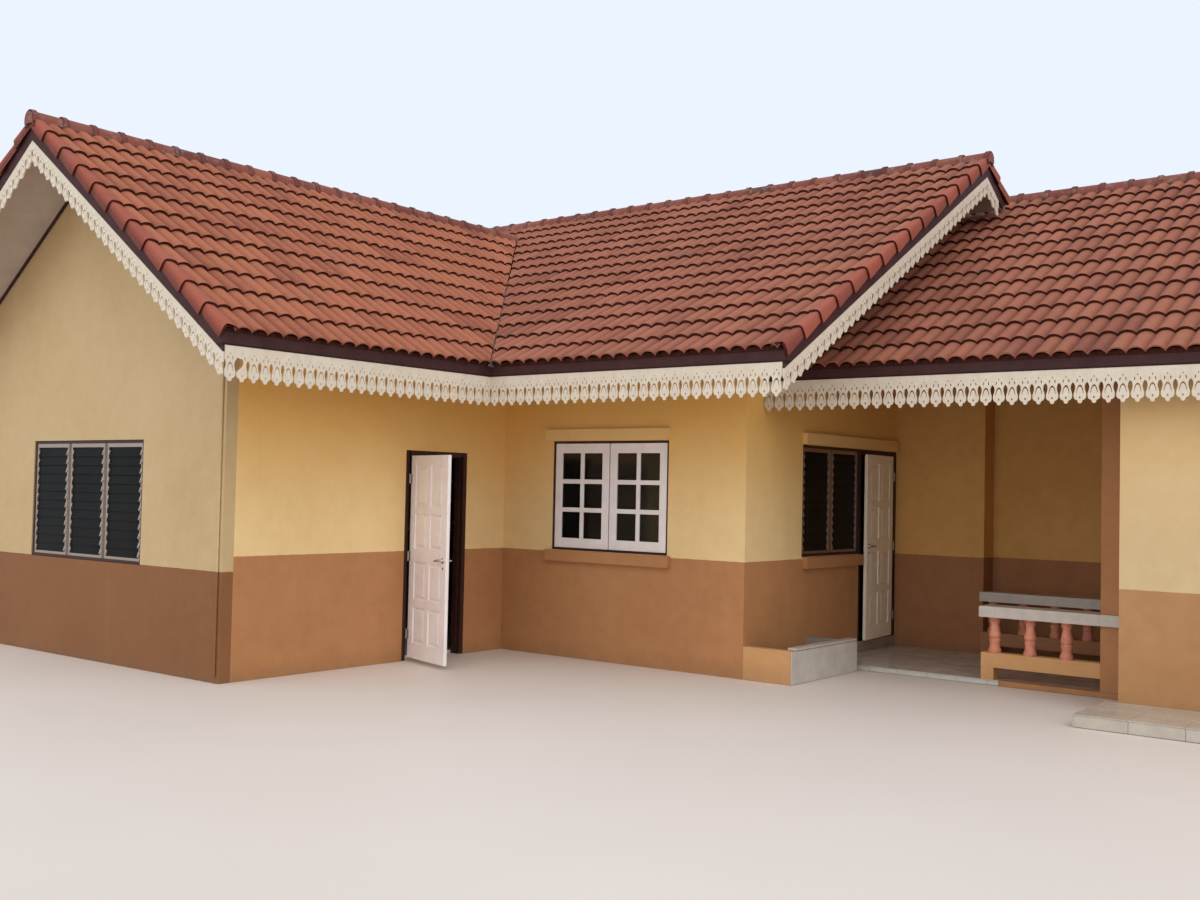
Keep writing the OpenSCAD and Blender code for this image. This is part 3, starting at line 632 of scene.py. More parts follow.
# valley planes: line from (LE, -MOVER) to (LX, VAL_Y) and its mirror
vd = Vector((LX - LE, VAL_Y + MOVER, 0)).normalized()
n_east = Vector((vd.y, -vd.x, 0))      # points to the middle wing's side of the right valley
if n_east.dot(Vector((1, 1, 0))) < 0:
    n_east = -n_east
vd2 = Vector((LX - LW, VAL_Y + MOVER, 0)).normalized()
n_west = Vector((vd2.y, -vd2.x, 0))
if n_west.dot(Vector((-1, 1, 0))) < 0:
    n_west = -n_west
pe, pw = Vector((LE, -MOVER, 0)), Vector((LW, -MOVER, 0))
G = 0.006
LN = "left_roof_tiles"; MN = "middle_roof_tiles"; RN = "right_roof_tiles"
# left wing: u runs along Y
CL, CM, CR = 0.1516, 0.101, 0.1075       # places of a crest along the eaves
PL, PM, PR = 0.1525, 0.1515, 0.1475      # wave widths
GL = [(LRUN + TIP) * math.hypot(1, LRISE) / 11]
GM = [(MRUN + TIP) * math.hypot(1, MRISE) / 15]
GR = [0.347] * 8 + [0.3205]
slope_tiles("left_tiles_east", (LE, 0), (0, 1), (-1, 0), LRISE, LY - 0.004, VAL_Y, LRUN, GL, LN, PL, CL, [(pe - n_east * G, n_east)], 11)
slope_tiles("left_tiles_west", (LW, 0), (0, 1), (1, 0), LRISE, LY - 0.004, VAL_Y, LRUN, GL, LN, PL, CL, [(pw - n_west * G, n_west)], 12)
# middle wing: u runs along X
slope_tiles("middle_tiles_front_right", (0, -MOVER), (1, 0), (0, 1), MRISE, LX, MX1 + 0.004, MRUN, GM, MN, PM, CM, [(pe + n_east * G, -n_east)], 13)
slope_tiles("middle_tiles_front_left", (0, -MOVER), (1, 0), (0, 1), MRISE, MX0 - 0.004, LX, MRUN, GM, MN, PM, CM, [(pw + n_west * G, -n_west)], 14)
slope_tiles("middle_tiles_back", (0, BACK_M), (1, 0), (0, -1), MRISE, MX0 - 0.004, 3.05, MRUN, GM, MN, PM, CM, (), 15)
slope_tiles("middle_tiles_back_end", (0, BACK_M), (1, 0), (0, -1), MRISE, 3.051, MX1 + 0.004, MRUN, GM, MN, PM, CM, [((0, 3.68, 0), (0, 1, 0))], 16)
# right wing
slope_tiles("right_tiles_front", (0, RY0), (1, 0), (0, 1), RRISE, 3.052, RX1 + 0.004, RRUN, GR, RN, PR, CR, (), 17)
slope_tiles("right_tiles_back", (0, BACK_R), (1, 0), (0, -1), RRISE, 3.052, RX1 + 0.004, RRUN, GR, RN, PR, CR, (), 18)

# the left gable's verge skirts take a deeper painted shade
verge_tiles("left_verge_east", (LE, 0), (0, 1), (-1, 0), LRISE, LY, -1, LRUN, GL, LN, 21, darkening=0.6)
verge_tiles("left_verge_west", (LW, 0), (0, 1), (1, 0), LRISE, LY, -1, LRUN, GL, LN, 22, darkening=0.6)
verge_tiles("middle_verge_front_left", (0, -MOVER), (1, 0), (0, 1), MRISE, MX0, -1, MRUN, GM, MN, 23)
verge_tiles("middle_verge_back_left", (0, BACK_M), (1, 0), (0, -1), MRISE, MX0, -1, MRUN, GM, MN, 24)
verge_tiles("middle_verge_front_right", (0, -MOVER), (1, 0), (0, 1), MRISE, MX1, 1, MRUN, GM, MN, 25)
_cs = 1 / math.hypot(1, MRISE)
verge_tiles("middle_verge_back_right", (0, BACK_M), (1, 0), (0, -1), MRISE, MX1, 1, MRUN, GM, MN, 26, s_from=(BACK_M - 3.62 + TIP) / _cs)
verge_tiles("right_verge_front", (0, RY0), (1, 0), (0, 1), RRISE, RX1, 1, RRUN, GR, RN, 27)
verge_tiles("right_verge_back", (0, BACK_R), (1, 0), (0, -1), RRISE, RX1, 1, RRUN, GR, RN, 28)


def ridge(name, a, b, z, lat, rise, seed):
    """Half-round ridge tiles with low collars from a to b in plan, z the tile surface at the ridge line,
    closed at both ends and bedded on mortar."""
    rnd = random.Random(seed)
    a, b = Vector((*a, 0)), Vector((*b, 0))
    L = (b - a).length
    ax = (b - a) / L
    lt = Vector((lat[0], lat[1], 0))
    M = Mesh()
    n = 15
    foot = -0.080 * rise + 0.004

    def ring(s, w, top):
        out = []
        for i in range(n):
            f = -1 + 2 * i / (n - 1)
            ang = f * math.radians(90)
            x = w * math.sin(ang)
            h = foot + (top - foot) * math.cos(ang) ** 0.75 if abs(f) < 0.999 else foot
            out.append(a + ax * s + lt * x + Vector((0, 0, z + h)))
        return out

    def close(r, back):
        """end plate under a ring"""
        c = r[0].lerp(r[-1], 0.5)
        vs = list(r) + [r[-1] + Vector((0, 0, -0.015)), r[0] + Vector((0, 0, -0.015))]
        f = tuple(range(len(vs)))
        M.add(vs, [tuple(reversed(f)) if back else f], 0, 0.45)

    s = 0.0
    while s < L - 0.02:
        e = s + 0.30
        if L - e < 0.12:
            e = L
        j = rnd.uniform(-0.0015, 0.0015)
        t = min(1.0, max(0.0, rnd.gauss(0.5, 0.2)))
        prof = [(s, 0.080, 0.061), (s + 0.005, 0.0830, 0.0685), (s + 0.048, 0.0830, 0.0695), (s + 0.056, 0.0805, 0.065), (s + 0.068, 0.0760, 0.056), (min(e + 0.012, L), 0.0745, 0.053)]
        rings = [ring(min(q, L), w, tp + j) for q, w, tp in prof]
        vs = [p for r_ in rings for p in r_]
        fs = [(q * n + i, q * n + i + 1, (q + 1) * n + i + 1, (q + 1) * n + i) for q in range(len(prof) - 1) for i in range(n - 1)]
        M.add(vs, fs, 0, t)
        for q in range(4 * (n - 1)):
            M.t[q - len(fs)] = t * 0.35
        inn = [p.lerp(a + ax * s + Vector((0, 0, z + foot)), 0.09) for p in rings[0]]
        M.add(rings[0] + inn, [(n + i, n + i + 1, i + 1, i) for i in range(n - 1)], 1, 0.2)
        if s == 0.0:
            close(rings[0], True)
        if e >= L:
            close(rings[-1], False)
        s = e
    # mortar bed on each side, filling down into the waves
    for sg in (-1, 1):
        xo, xi = sg * 0.073, sg * 0.036
        p = [a + ax * 0.006, b - ax * 0.006]
        zt_, zb = z + foot + 0.012, z - 0.110 * rise - 0.020
        vs = [q + lt * x + Vector((0, 0, h)) for q in p for x, h in ((xo, zt_), (sg * 0.088, zb), (xi, zb), (xi, zt_))]
        M.add(vs, [(0, 1, 5, 4), (1, 2, 6, 5), (2, 3, 7, 6), (3, 0, 4, 7), (3, 2, 1, 0), (4, 5, 6, 7)], 2, 0.5)
    ob = M.make(name, [M_RIDGE, M_BUTT_SHADE, M_MORTAR], slot="roof_tile", replaces=("ridge_caps",), smooth=True)
    bm = bmesh.new(); bm.from_mesh(ob.data); bmesh.ops.recalc_face_normals(bm, faces=bm.faces); bm.to_mesh(ob.data); bm.free()
    ob.data.set_sharp_from_angle(angle=math.radians(50))
    return ob


ZL = EDGE + LRISE * (LRUN + TIP); ZM = EDGE + MRISE * (MRUN + TIP); ZR = EDGE + RRISE * (RRUN + TIP)
ridge("left_ridge_tiles", (LX, LY - 0.039), (LX, VAL_Y - 0.06), ZL, (1, 0), LRISE, 31)
ridge("middle_ridge_tiles", (MX1 + 0.039, MY), (MX0 - 0.039, MY), ZM, (0, 1), MRISE, 32)
ridge("right_ridge_tiles", (RX1 + 0.039, RY), (3.053, RY), ZR, (0, 1), RRISE, 33)


def valley(name, p, top, nrm):
    """folded gutter sheet under the cut tiles of a valley; its near-black colour is painted shade along the valley line
    """
    M = Mesh()
    a = Vector((p[0], p[1], EDGE - 0.045)); b = Vector((top[0], top[1], EDGE - 0.045 + LRISE * (LRUN)))
    a = a.lerp(b, 0.035)
    w = 0.09
    na = Vector((nrm.x, nrm.y, 0))
    up = Vector((0, 0, 0.03))
    vs = [a - na * w + up, a + Vector((0, 0, -0.0)), a + na * w + up, b - na * w + up, b, b + na * w + up]
    vs += [v + Vector((0, 0, -0.004)) for v in vs]
    M.add(vs, [(0, 1, 4, 3), (1, 2, 5, 4), (6, 9, 10, 7), (7, 10, 11, 8), (0, 3, 9, 6), (2, 8, 11, 5), (0, 6, 7, 1), (1, 7, 8, 2), (3, 4, 10, 9), (4, 5, 11, 10)])
    M.make(name, [M_BUTT_SHADE], slot="roof_tile")


valley("valley_gutter_east", (LE, -MOVER), (LX + 0.05, VAL_Y - 0.05), n_east)
valley("valley_gutter_west", (LW, -MOVER), (LX - 0.05, VAL_Y - 0.05), n_west)

# tilting battens close the arches under the first course and cover the board's upper edge; their near-black colour is
# painted shade in the arches
M = Mesh()
za, zb_ = EDGE - 0.031, EDGE + 0.013
for (a, b) in (((LE - 0.028, LY + 0.001, za), (LE - 0.003, -MOVER - 0.03, zb_)), ((LW + 0.003, LY + 0.001, za), (LW + 0.028, -MOVER - 0.03, zb_)),
               ((LE + 0.03, -MOVER + 0.003, za), (MX1 - 0.001, -MOVER + 0.028, zb_)), ((MX0 + 0.001, BACK_M - 0.028, za), (3.04, BACK_M - 0.003, zb_)),
               ((3.06, RY0 + 0.003, za), (RX1 - 0.001, RY0 + 0.028, zb_)), ((3.08, BACK_R - 0.028, za), (RX1 - 0.001, BACK_R - 0.003, zb_))):
    M.box(a, b)
M.make("tilting_battens", [M_BUTT_SHADE], slot="dark_wood", bevel=0.003)

# dark trims where the soffits meet the gable walls
M = Mesh()


def trim_line(p, q, w=0.028, t=0.02, axis="y", side=-1):
    """thin board from p to q along a sloping joint; axis is the wall's normal"""
    p, q = Vector(p), Vector(q)
    n = Vector((0, 1, 0)) if axis == "y" else Vector((1, 0, 0))
    d = (q - p).normalized()
    up = n.cross(d)
    if up.z < 0:
        up = -up
    vs = []
    for e in (p, q):
        for a_, b_ in ((0, 0), (t, 0), (t, -w), (0, -w)):
            vs.append(e + n * a_ * side + up * b_)
    M.add(vs, [(3, 2, 1, 0), (4, 5, 6, 7), (0, 1, 5, 4), (1, 2, 6, 5), (2, 3, 7, 6), (3, 0, 4, 7)])


def under(rise, d):
    return EDGE - 0.14 + rise * (d + TIP)


for sx in (-1, 1):
    trim_line((LX + sx * 2.9, -3.57, under(LRISE, LRUN - 2.9) - 0.001), (LX, -3.57, under(LRISE, LRUN) - 0.001), axis="y", side=-1)
for sy in (-1, 1):
    trim_line((-4.24, MY + sy * 3.9 if sy > 0 else -1.0, under(MRISE, MRUN - 3.9) - 0.001 if sy > 0 else under(MRISE, 0.25) - 0.001), (-4.24, MY, under(MRISE, MRUN) - 0.001), axis="x", side=-1)
    trim_line((9.84, RY + sy * 3.3, under(RRISE, RRUN - 3.3) - 0.001), (9.84, RY, under(RRISE, RRUN) - 0.001), axis="x", side=1)
bm_tr = M.make("gable_joint_trims", [M_BOARD], slot="dark_wood")
bm = bmesh.new(); bm.from_mesh(bm_tr.data); bmesh.ops.recalc_face_normals(bm, faces=bm.faces); bm.to_mesh(bm_tr.data); bm.free()

# ------------------------------------------------------------------ hanging lace boards
PITCH, LH = 0.112, 0.28
# outline of one pendant: x across in pitches, y down in heights, right half from the top
SIDE = [(0.5, 0.0), (0.5, 0.385), (0.435, 0.405), (0.375, 0.440), (0.338, 0.490), (0.328, 0.545), (0.346, 0.602), (0.392, 0.660),
        (0.434, 0.715), (0.450, 0.768), (0.434, 0.822), (0.386, 0.864), (0.305, 0.893), (0.190, 0.907), (0.160, 0.930),
        (0.128, 0.975), (0.070, 0.998)]
HOLES = [
    [(0.0, 0.190), (0.050, 0.222), (0.0, 0.254), (-0.050, 0.222)],
    [(0.150, 0.285), (0.235, 0.305), (0.255, 0.375), (0.205, 0.395), (0.160, 0.350)],
    [(-0.150, 0.285), (-0.160, 0.350), (-0.205, 0.395), (-0.255, 0.375), (-0.235, 0.305)],
    [(0.0, 0.455), (0.095, 0.475), (0.180, 0.530), (0.238, 0.610), (0.268, 0.700), (0.226, 0.712), (0.196, 0.645), (0.140, 0.575), (0.070, 0.525), (0.0, 0.510),
     (-0.070, 0.525), (-0.140, 0.575), (-0.196, 0.645), (-0.226, 0.712), (-0.268, 0.700), (-0.238, 0.610), (-0.180, 0.530), (-0.095, 0.475)],
    [(0.0, 0.790), (0.055, 0.812), (0.060, 0.848), (0.0, 0.868), (-0.060, 0.848), (-0.055, 0.812)],
]
# the second pendant of the left wing's long eave has lost its upper left part
BROKEN_LEFT = [(-0.5, 0.0), (-0.5, 0.335), (-0.30, 0.330), (-0.16, 0.350), (-0.02, 0.345), (0.09, 0.375), (0.135, 0.430), (0.110, 0.500),
               (0.060, 0.560), (-0.050, 0.600), (-0.180, 0.640), (-0.310, 0.680), (-0.434, 0.718), (-0.450, 0.768), (-0.434, 0.822), (-0.386, 0.864),
               (-0.305, 0.893), (-0.190, 0.907), (-0.160, 0.930), (-0.128, 0.975), (-0.070, 0.998)]


def loops_of(broken=False):
    left = BROKEN_LEFT if broken else [(-x, y) for x, y in SIDE]
    outl = left + [(x, y) for x, y in reversed(SIDE)]
    holes = [HOLES[0], HOLES[1], HOLES[4]] if broken else HOLES
    lp = [[Vector((x * PITCH, -y * LH, 0)) for x, y in outl]] + [[Vector((x * PITCH, -y * LH, 0)) for x, y in h] for h in holes]
    return lp, [p for l in lp for p in l], tessellate_polygon(lp)


UNIT, UNIT_BROKEN = loops_of(), loops_of(True)


def lace_run(name, org, ud, length, slope=0.0, thick=0.012, scale_y=1.0, keep=None, nrm=None, broken=()):
    """A run of pendants from org (x, y, z of the top line) along plan direction ud. slope is the rise per unit run."""
    M = Mesh()
    n = max(1, round(length / PITCH))
    p = length / n
    ux, uy = ud
    nx, ny = nrm
    rnd = random.Random(len(name) * 7 + n)
    for k in range(n):
        if keep and not keep(k, n):
            continue
        loops, flat, tris = UNIT_BROKEN if k in broken else UNIT
        c = (k + 0.5) * p
        k2 = p / PITCH
        front, back = [], []
        for q in flat:
            s = c + q.x * k2 * 0.998
            z = org[2] + slope * s + q.y * scale_y
            x, y = org[0] + ux * s, org[1] + uy * s
            front.append((x, y, z))
            back.append((x + nx * thick, y + ny * thick, z))
        m = len(flat)
        fs = [tuple(t) for t in tris] + [tuple(m + i for i in reversed(t)) for t in tris]
        o = 0
        for l in loops:
            for i in range(len(l)):
                j = (i + 1) % len(l)
                fs.append((o + i, o + j, m + o + j, m + o + i))
            o += len(l)
        M.add(front + back, fs, 0, rnd.random())
    ob = M.make(name, [M_LACE], slot="lace_paint", replaces=("lace_trim",))
    bm = bmesh.new(); bm.from_mesh(ob.data); bmesh.ops.recalc_face_normals(bm, faces=bm.faces); bm.to_mesh(ob.data); bm.free()
    return ob


RLS, RLM = 0.214 / LH, 0.200 / LH
zt = EAVE - 0.001
zr = EAVE - DROP - 0.001
lace_run("lace_left_east", (LE - 0.004, LY + 0.021, zt), (0, 1), -MOVER + 0.016 - LY - 0.021, nrm=(-1, 0), broken=(1,))
lace_run("lace_left_west", (LW + 0.004, LY + 0.021, zt), (0, 1), -MOVER - 0.002 - LY - 0.021, nrm=(1, 0))
lace_run("lace_left_gable_east", (LE - 0.001, LY + 0.004, zr), (-1, 0), LRUN - 0.001, LRISE, scale_y=RLS, nrm=(0, 1))
lace_run("lace_left_gable_west", (LW + 0.001, LY + 0.004, zr), (1, 0), LRUN - 0.001, LRISE, scale_y=RLS, nrm=(0, 1))
lace_run("lace_middle_front", (LE - 0.003, -MOVER + 0.004, zt), (1, 0), MX1 - 0.021 - LE + 0.003, nrm=(0, 1))
lace_run("lace_middle_gable_left_front", (MX0 + 0.004, -MOVER, zr), (0, 1), MRUN, MRISE, scale_y=RLM, nrm=(1, 0))
lace_run("lace_middle_gable_left_back", (MX0 + 0.004, BACK_M, zr), (0, -1), MRUN, MRISE, scale_y=RLM, nrm=(1, 0))
lace_run("lace_middle_gable_right", (MX1 - 0.004, -MOVER, zr), (0, 1), MRUN, MRISE, scale_y=RLM, nrm=(-1, 0))
lace_run("lace_middle_gable_right_back", (MX1 - 0.004, BACK_M, zr), (0, -1), MRUN, MRISE, scale_y=RLM, nrm=(-1, 0), keep=lambda k, n: (k + 1) * MRUN / n > MRUN - 0.26)
lace_run("lace_middle_back", (MX0 + 0.021, BACK_M - 0.004, zt), (1, 0), 3.05 - MX0 - 0.021, nrm=(0, -1))
lace_run("lace_right_front", (3.052, RY0 + 0.004, zt), (1, 0), RX1 - 0.021 - 3.052, nrm=(0, 1))
lace_run("lace_right_back", (3.052, BACK_R - 0.004, zt), (1, 0), RX1 - 0.021 - 3.052, nrm=(0, -1))
lace_run("lace_right_gable_front", (RX1 - 0.004, RY0, zr), (0, 1), RRUN, RRISE, scale_y=RLM, nrm=(-1, 0))
lace_run("lace_right_gable_back", (RX1 - 0.004, BACK_R, zr), (0, -1), RRUN, RRISE, scale_y=RLM, nrm=(-1, 0))


# ------------------------------------------------------------------ windows
def TR(x, y, z, deg=0.0):
    return Matrix.Translation((x, y, z)) @ Matrix.Rotation(math.radians(deg), 4, "Z")


def leaf_bars(M, T, x0, x1, z0, z1, y0, y1, cols=2, rows=3, stile=0.088, rail=0.100, bar=0.046):
    M.box((x0, y0, z0), (x0 + stile, y1, z1), T=T)
    M.box((x1 - stile, y0, z0), (x1, y1, z1), T=T)
    M.box((x0 + stile, y0, z0), (x1 - stile, y1, z0 + rail), T=T)
    M.box((x0 + stile, y0, z1 - rail), (x1 - stile, y1, z1), T=T)
    iw, ih = (x1 - x0 - 2 * stile), (z1 - z0 - 2 * rail)
    for c in range(1, cols):
        xc = x0 + stile + iw * c / cols
        M.box((xc - bar / 2, y0 + 0.003, z0 + rail), (xc + bar / 2, y1 - 0.003, z1 - rail), T=T)
    for r in range(1, rows):
        zc = z0 + rail + ih * r / rows
        for c in range(cols):
            a = x0 + stile + iw * c / cols + (bar / 2 if c else 0)
            b = x0 + stile + iw * (c + 1) / cols - (bar / 2 if c < cols - 1 else 0)
            M.box((a, y0 + 0.003, zc - bar / 2), (b, y1 - 0.003, zc + bar / 2), T=T)


def casement(tag, T, frame_node, leaf_node, glass_node, w=1.475, h=1.13):
    F, Lf, Gl = Mesh(), Mesh(), Mesh()
    t, e = 0.022, 0.060
    F.box((0, 0.005, 0), (t, 0.105, h), T=T); F.box((w - t, 0.005, 0), (w, 0.105, h), T=T)
    F.box((t, 0.005, 0), (w - t, 0.105, t), T=T); F.box((t, 0.005, h - t), (w - t, 0.105, h), T=T)
    F.box((t, 0.050, t), (e, 0.105, h - t), T=T); F.box((w - e, 0.050, t), (w - t, 0.105, h - t), T=T)
    F.box((e, 0.050, t), (w - e, 0.105, e), T=T); F.box((e, 0.050, h - e), (w - e, 0.105, h - t), T=T)
    mid = w / 2
    for a, b in ((t + 0.003, mid - 0.007), (mid + 0.007, w - t - 0.003)):
        leaf_bars(Lf, T, a, b, t + 0.003, h - t - 0.003, 0.010, 0.045)
        Gl.box((a + 0.08, 0.026, t + 0.09), (b - 0.08, 0.031, h - t - 0.09), T=T)
    # cover strip behind the joint of the leaves
    F.box((mid - 0.018, 0.046, e + 0.001), (mid + 0.018, 0.054, h - e - 0.001), T=T)
    F.make("frame_" + tag, [M_FRAME], slot="dark_wood", replaces=frame_node, bevel=0.003)
    Lf.make("leaves_" + tag, [M_WHITE], slot="white_wood", replaces=leaf_node, bevel=0.004)
    Gl.make("panes_" + tag, [M_GLASS], slot="window_glass", replaces=glass_node)


def louvre(tag, T, w, h, n, nodes, blades=12):
    F, A, Gl = Mesh(), Mesh(), Mesh()
    t, m = 0.030, 0.046
    F.box((0, 0.0, 0), (t, 0.09, h), T=T); F.box((w - t, 0.0, 0), (w, 0.09, h), T=T)
    F.box((t, 0.0, 0), (w - t, 0.09, t), T=T); F.box((t, 0.0, h - t), (w - t, 0.09, h), T=T)
    bw = (w - 2 * t - (n - 1) * m) / n
    for i in range(1, n):
        x = t + i * bw + (i - 1) * m
        A.box((x + 0.001, 0.004, t + 0.001), (x + m - 0.001, 0.079, h - t - 0.001), 1, T=T)
    for i in range(n):
        x0 = t + i * (bw + m)
        x1 = x0 + bw
        z0, z1 = t, h - t
        # channels and top and bottom strips
        A.box((x0, 0.006, z0), (x0 + 0.024, 0.050, z1), T=T); A.box((x1 - 0.024, 0.006, z0), (x1, 0.050, z1), T=T)
        A.box((x0 + 0.024, 0.006, z1 - 0.038), (x1 - 0.024, 0.050, z1), T=T)
        A.box((x0 + 0.024, 0.006, z0), (x1 - 0.024, 0.050, z0 + 0.026), T=T)
        p = (z1 - z0 - 0.064) / blades
        for k in range(blades):
            zc = z0 + 0.026 + (k + 0.5) * p
            R = T @ Matrix.Translation((0, 0.018, zc)) @ Matrix.Rotation(math.radians(-8), 4, "X")
            Gl.box((x0 + 0.012, -0.0025, -p * 0.5 - 0.005), (x1 - 0.012, 0.0025, p * 0.5 + 0.002), T=R)
            for xs in (x0 + 0.014, x1 - 0.040):
                A.box((xs, -0.012, -p * 0.38), (xs + 0.026, 0.009, p * 0.16), T=R)
                A.box((xs + 0.002, -0.016, -p * 0.38), (xs + 0.022, -0.012, -p * 0.16), T=R)
    # painted shade: a dark sheet well behind the blades stands for the closed, unlit room
    Gl.box((t, 0.080, t), (w - t, 0.084, h - t), T=T)
    F.make("frame_" + tag, [M_FRAME], slot="dark_wood", replaces=nodes, bevel=0.003)
    A.make("channels_" + tag, [M_ALU, M_POST], slot="handle_chrome", bevel=0.001)
    Gl.make("blades_" + tag, [M_BLADE], slot="window_glass")


louvre("left_gable", TR(-3.22, -3.56, 0.95), 1.97, 1.16, 3, ("gable_window",))
louvre("recess", TR(3.04, 1.08, 1.105, 90), 1.249, 1.13, 2, ("recess_window",))
casement("forecourt", TR(0.69, 0.0, 1.105), ("front_window_frame",), ("front_window_leaves",), ("front_window_glass",))
BACK_X = (-3.5, -0.6, 3.9, 7.3)
for i, x in enumerate(BACK_X):
    casement("back%d" % i, TR(x + 1.475, 6.48, 1.105, 180), ("other_windows",), ("other_windows",), ("other_windows",))
for i, y in enumerate((-2.6, 3.3)):
    casement("left%d" % i, TR(-4.24, y + 1.475, 1.105, -90), ("other_windows",), ("other_windows",), ("other_windows",))
casement("right_room", TR(7.5, 0.6, 1.105), ("other_windows",), ("other_windows",), ("other_windows",))
louvre("right_gable", TR(9.83, 2.555, 0.95, 90), 1.97, 1.16, 3, ("other_windows",))


# ------------------------------------------------------------------ doors
def door(tag, axis, z0, angle, w, h, dirn, body, leaf_node, handle_node, hd, hz):
    """panelled leaf and lever handles; built closed, then turned to the rest pose about the hinge axis"""
    T = Matrix.Translation((axis[0], axis[1], z0)) @ Matrix.Rotation(math.radians(angle), 4, "Z")
    if dirn < 0:
        T = T @ Matrix.Scale(-1, 4, (0, 1, 0))
    x0, x1 = -0.046, -0.011
    a, b = 0.009, 0.009 + w
    Lf = Mesh()
    st, mul = 0.102, 0.075
    cols = [(a + st, (a + b) / 2 - mul / 2), ((a + b) / 2 + mul / 2, b - st)]
    k = h / 2.0
    rows = [(0.155 * k, 0.505 * k), (0.585 * k, 0.950 * k), (1.085 * k, 1.425 * k), (1.495 * k, 1.900 * k)]
    Lf.box((x0, a, 0), (x1, a + st, h), T=T)
    Lf.box((x0, b - st, 0), (x1, b, h), T=T)
    for r0, r1 in rows:
        Lf.box((x0, cols[0][1], r0), (x1, cols[1][0], r1), T=T)
    zs = [0.0] + [z for r in rows for z in r] + [h]
    for i in range(0, len(zs), 2):
        Lf.box((x0, a + st, zs[i]), (x1, b - st, zs[i + 1]), T=T)
    Pn = Mesh()
    for (y0, y1) in cols:
        for (r0, r1) in rows:
            Pn.box((x0 + 0.012, y0 - 0.004, r0 - 0.004), (x1 - 0.012, y1 + 0.004, r1 + 0.004), T=T)
            for xf, xt in ((x0 + 0.012, x0 + 0.0035), (x1 - 0.012, x1 - 0.0035)):
                i1, i2 = 0.016, 0.040
                vs = [(xf, y0 + i1, r0 + i1), (xf, y1 - i1, r0 + i1), (xf, y1 - i1, r1 - i1), (xf, y0 + i1, r1 - i1),
                      (xt, y0 + i2, r0 + i2), (xt, y1 - i2, r0 + i2), (xt, y1 - i2, r1 - i2), (xt, y0 + i2, r1 - i2)]
                Pn.add([T @ Vector(v) for v in vs], [(4, 5, 6, 7), (0, 1, 5, 4), (1, 2, 6, 5), (2, 3, 7, 6), (3, 0, 4, 7), (3, 2, 1, 0)])
    for Q, nm in ((Lf, "leaf_"), (Pn, "panels_")):
        ob = Q.make(nm + tag, [M_WHITE if dirn > 0 else M_WHITE_PORCH_BOUNCE], body=body, slot="white_wood", replaces=(leaf_node,), bevel=0.004 if Q is Lf else 0.0015)
        bm = bmesh.new(); bm.from_mesh(ob.data); bmesh.ops.recalc_face_normals(bm, faces=bm.faces); bm.to_mesh(ob.data); bm.free()
    # handles
    H = Mesh()
    for s in (-1, 1):
        xf = x1 if s > 0 else x0
        RX = T @ Matrix.Translation((xf, hd, hz)) @ Matrix.Rotation(math.radians(90 * s), 4, "Y")
        prof = [(0.028, 0.0), (0.028, 0.005), (0.025, 0.010), (0.014, 0.012), (0.0115, 0.016), (0.011, 0.044), (0.012, 0.051), (0.007, 0.056)]
        n = 24
        vs = [RX @ Vector((r * math.cos(2 * math.pi * i / n), r * math.sin(2 * math.pi * i / n), z)) for r, z in prof for i in range(n)]
        fs = [(q * n + i, q * n + (i + 1) % n, (q + 1) * n + (i + 1) % n, (q + 1) * n + i) for q in range(len(prof) - 1) for i in range(n)]
        fs += [tuple(range(n)), tuple(range((len(prof) - 1) * n, len(prof) * n))]
        H.add(vs, fs)
        # lever: swept oval towards the hinge, drooping slightly at its end
        pts = []
        for q in range(11):
            f = q / 10
            pts.append((xf + s * (0.046 + 0.002 * math.sin(f * math.pi)), hd - 0.094 * f, hz + 0.004 * math.sin(f * math.pi) - 0.010 * f * f, 0.0125 - 0.0025 * f, 0.0085 - 0.0015 * f))
        n2 = 12
        vs = []
        for (px, py, pz, rz, rx) in pts:
            for i in range(n2):
                t = 2 * math.pi * i / n2
                vs.append(T @ Vector((px + rx * math.cos(t), py, pz + rz * math.sin(t))))
        fs = [(q * n2 + i, q * n2 + (i + 1) % n2, (q + 1) * n2 + (i + 1) % n2, (q + 1) * n2 + i) for q in range(10) for i in range(n2)]
        fs += [tuple(range(n2)), tuple(range(10 * n2, 11 * n2))]
        H.add(vs, fs)
        # small lock rose under the lever
        RX2 = T @ Matrix.Translation((xf, hd, hz - 0.075)) @ Matrix.Rotation(math.radians(90 * s), 4, "Y")
        H.cyl((0, 0, 0), 0.013, 0.004, 20, T=RX2)
    ob = H.make("handles_" + tag, [M_CHROME], body=body, slot="handle_chrome", replaces=(handle_node,), smooth=True)
    bm = bmesh.new(); bm.from_mesh(ob.data); bmesh.ops.recalc_face_normals(bm, faces=bm.faces); bm.to_mesh(ob.data); bm.free()
    ob.data.set_sharp_from_angle(angle=math.radians(40))
    # butt hinges: barrel on the axis and a flap on the leaf's face
    K = Mesh()
    flap = [(-0.0105, 0.009), (-0.0045, 0.004), (0.003, 0.003), (-0.006, 0.012), (-0.008, 0.016), (-0.008, 0.034), (-0.0105, 0.034)]
    for z in (0.18, 0.95, h - 0.28):
        for q in range(5):
            K.cyl((0.0, 0.0, z + 0.02 * q + 0.0005), 0.006, 0.019, 16, T=T)
        vs = [T @ Vector((x, y, z + e)) for e in (0.005, 0.095) for x, y in flap]
        m_ = len(flap)
        K.add(vs, [tuple(reversed(range(m_))), tuple(range(m_, 2 * m_))] + [(i, (i + 1) % m_, m_ + (i + 1) % m_, m_ + i) for i in range(m_)])
    ob = K.make("hinges_" + tag, [M_ALU], body=body, slot="handle_chrome", smooth=True)
    bm = bmesh.new(); bm.from_mesh(ob.data); bmesh.ops.recalc_face_normals(bm, faces=bm.faces); bm.to_mesh(ob.data); bm.free()
    ob.data.set_sharp_from_angle(angle=math.radians(40))


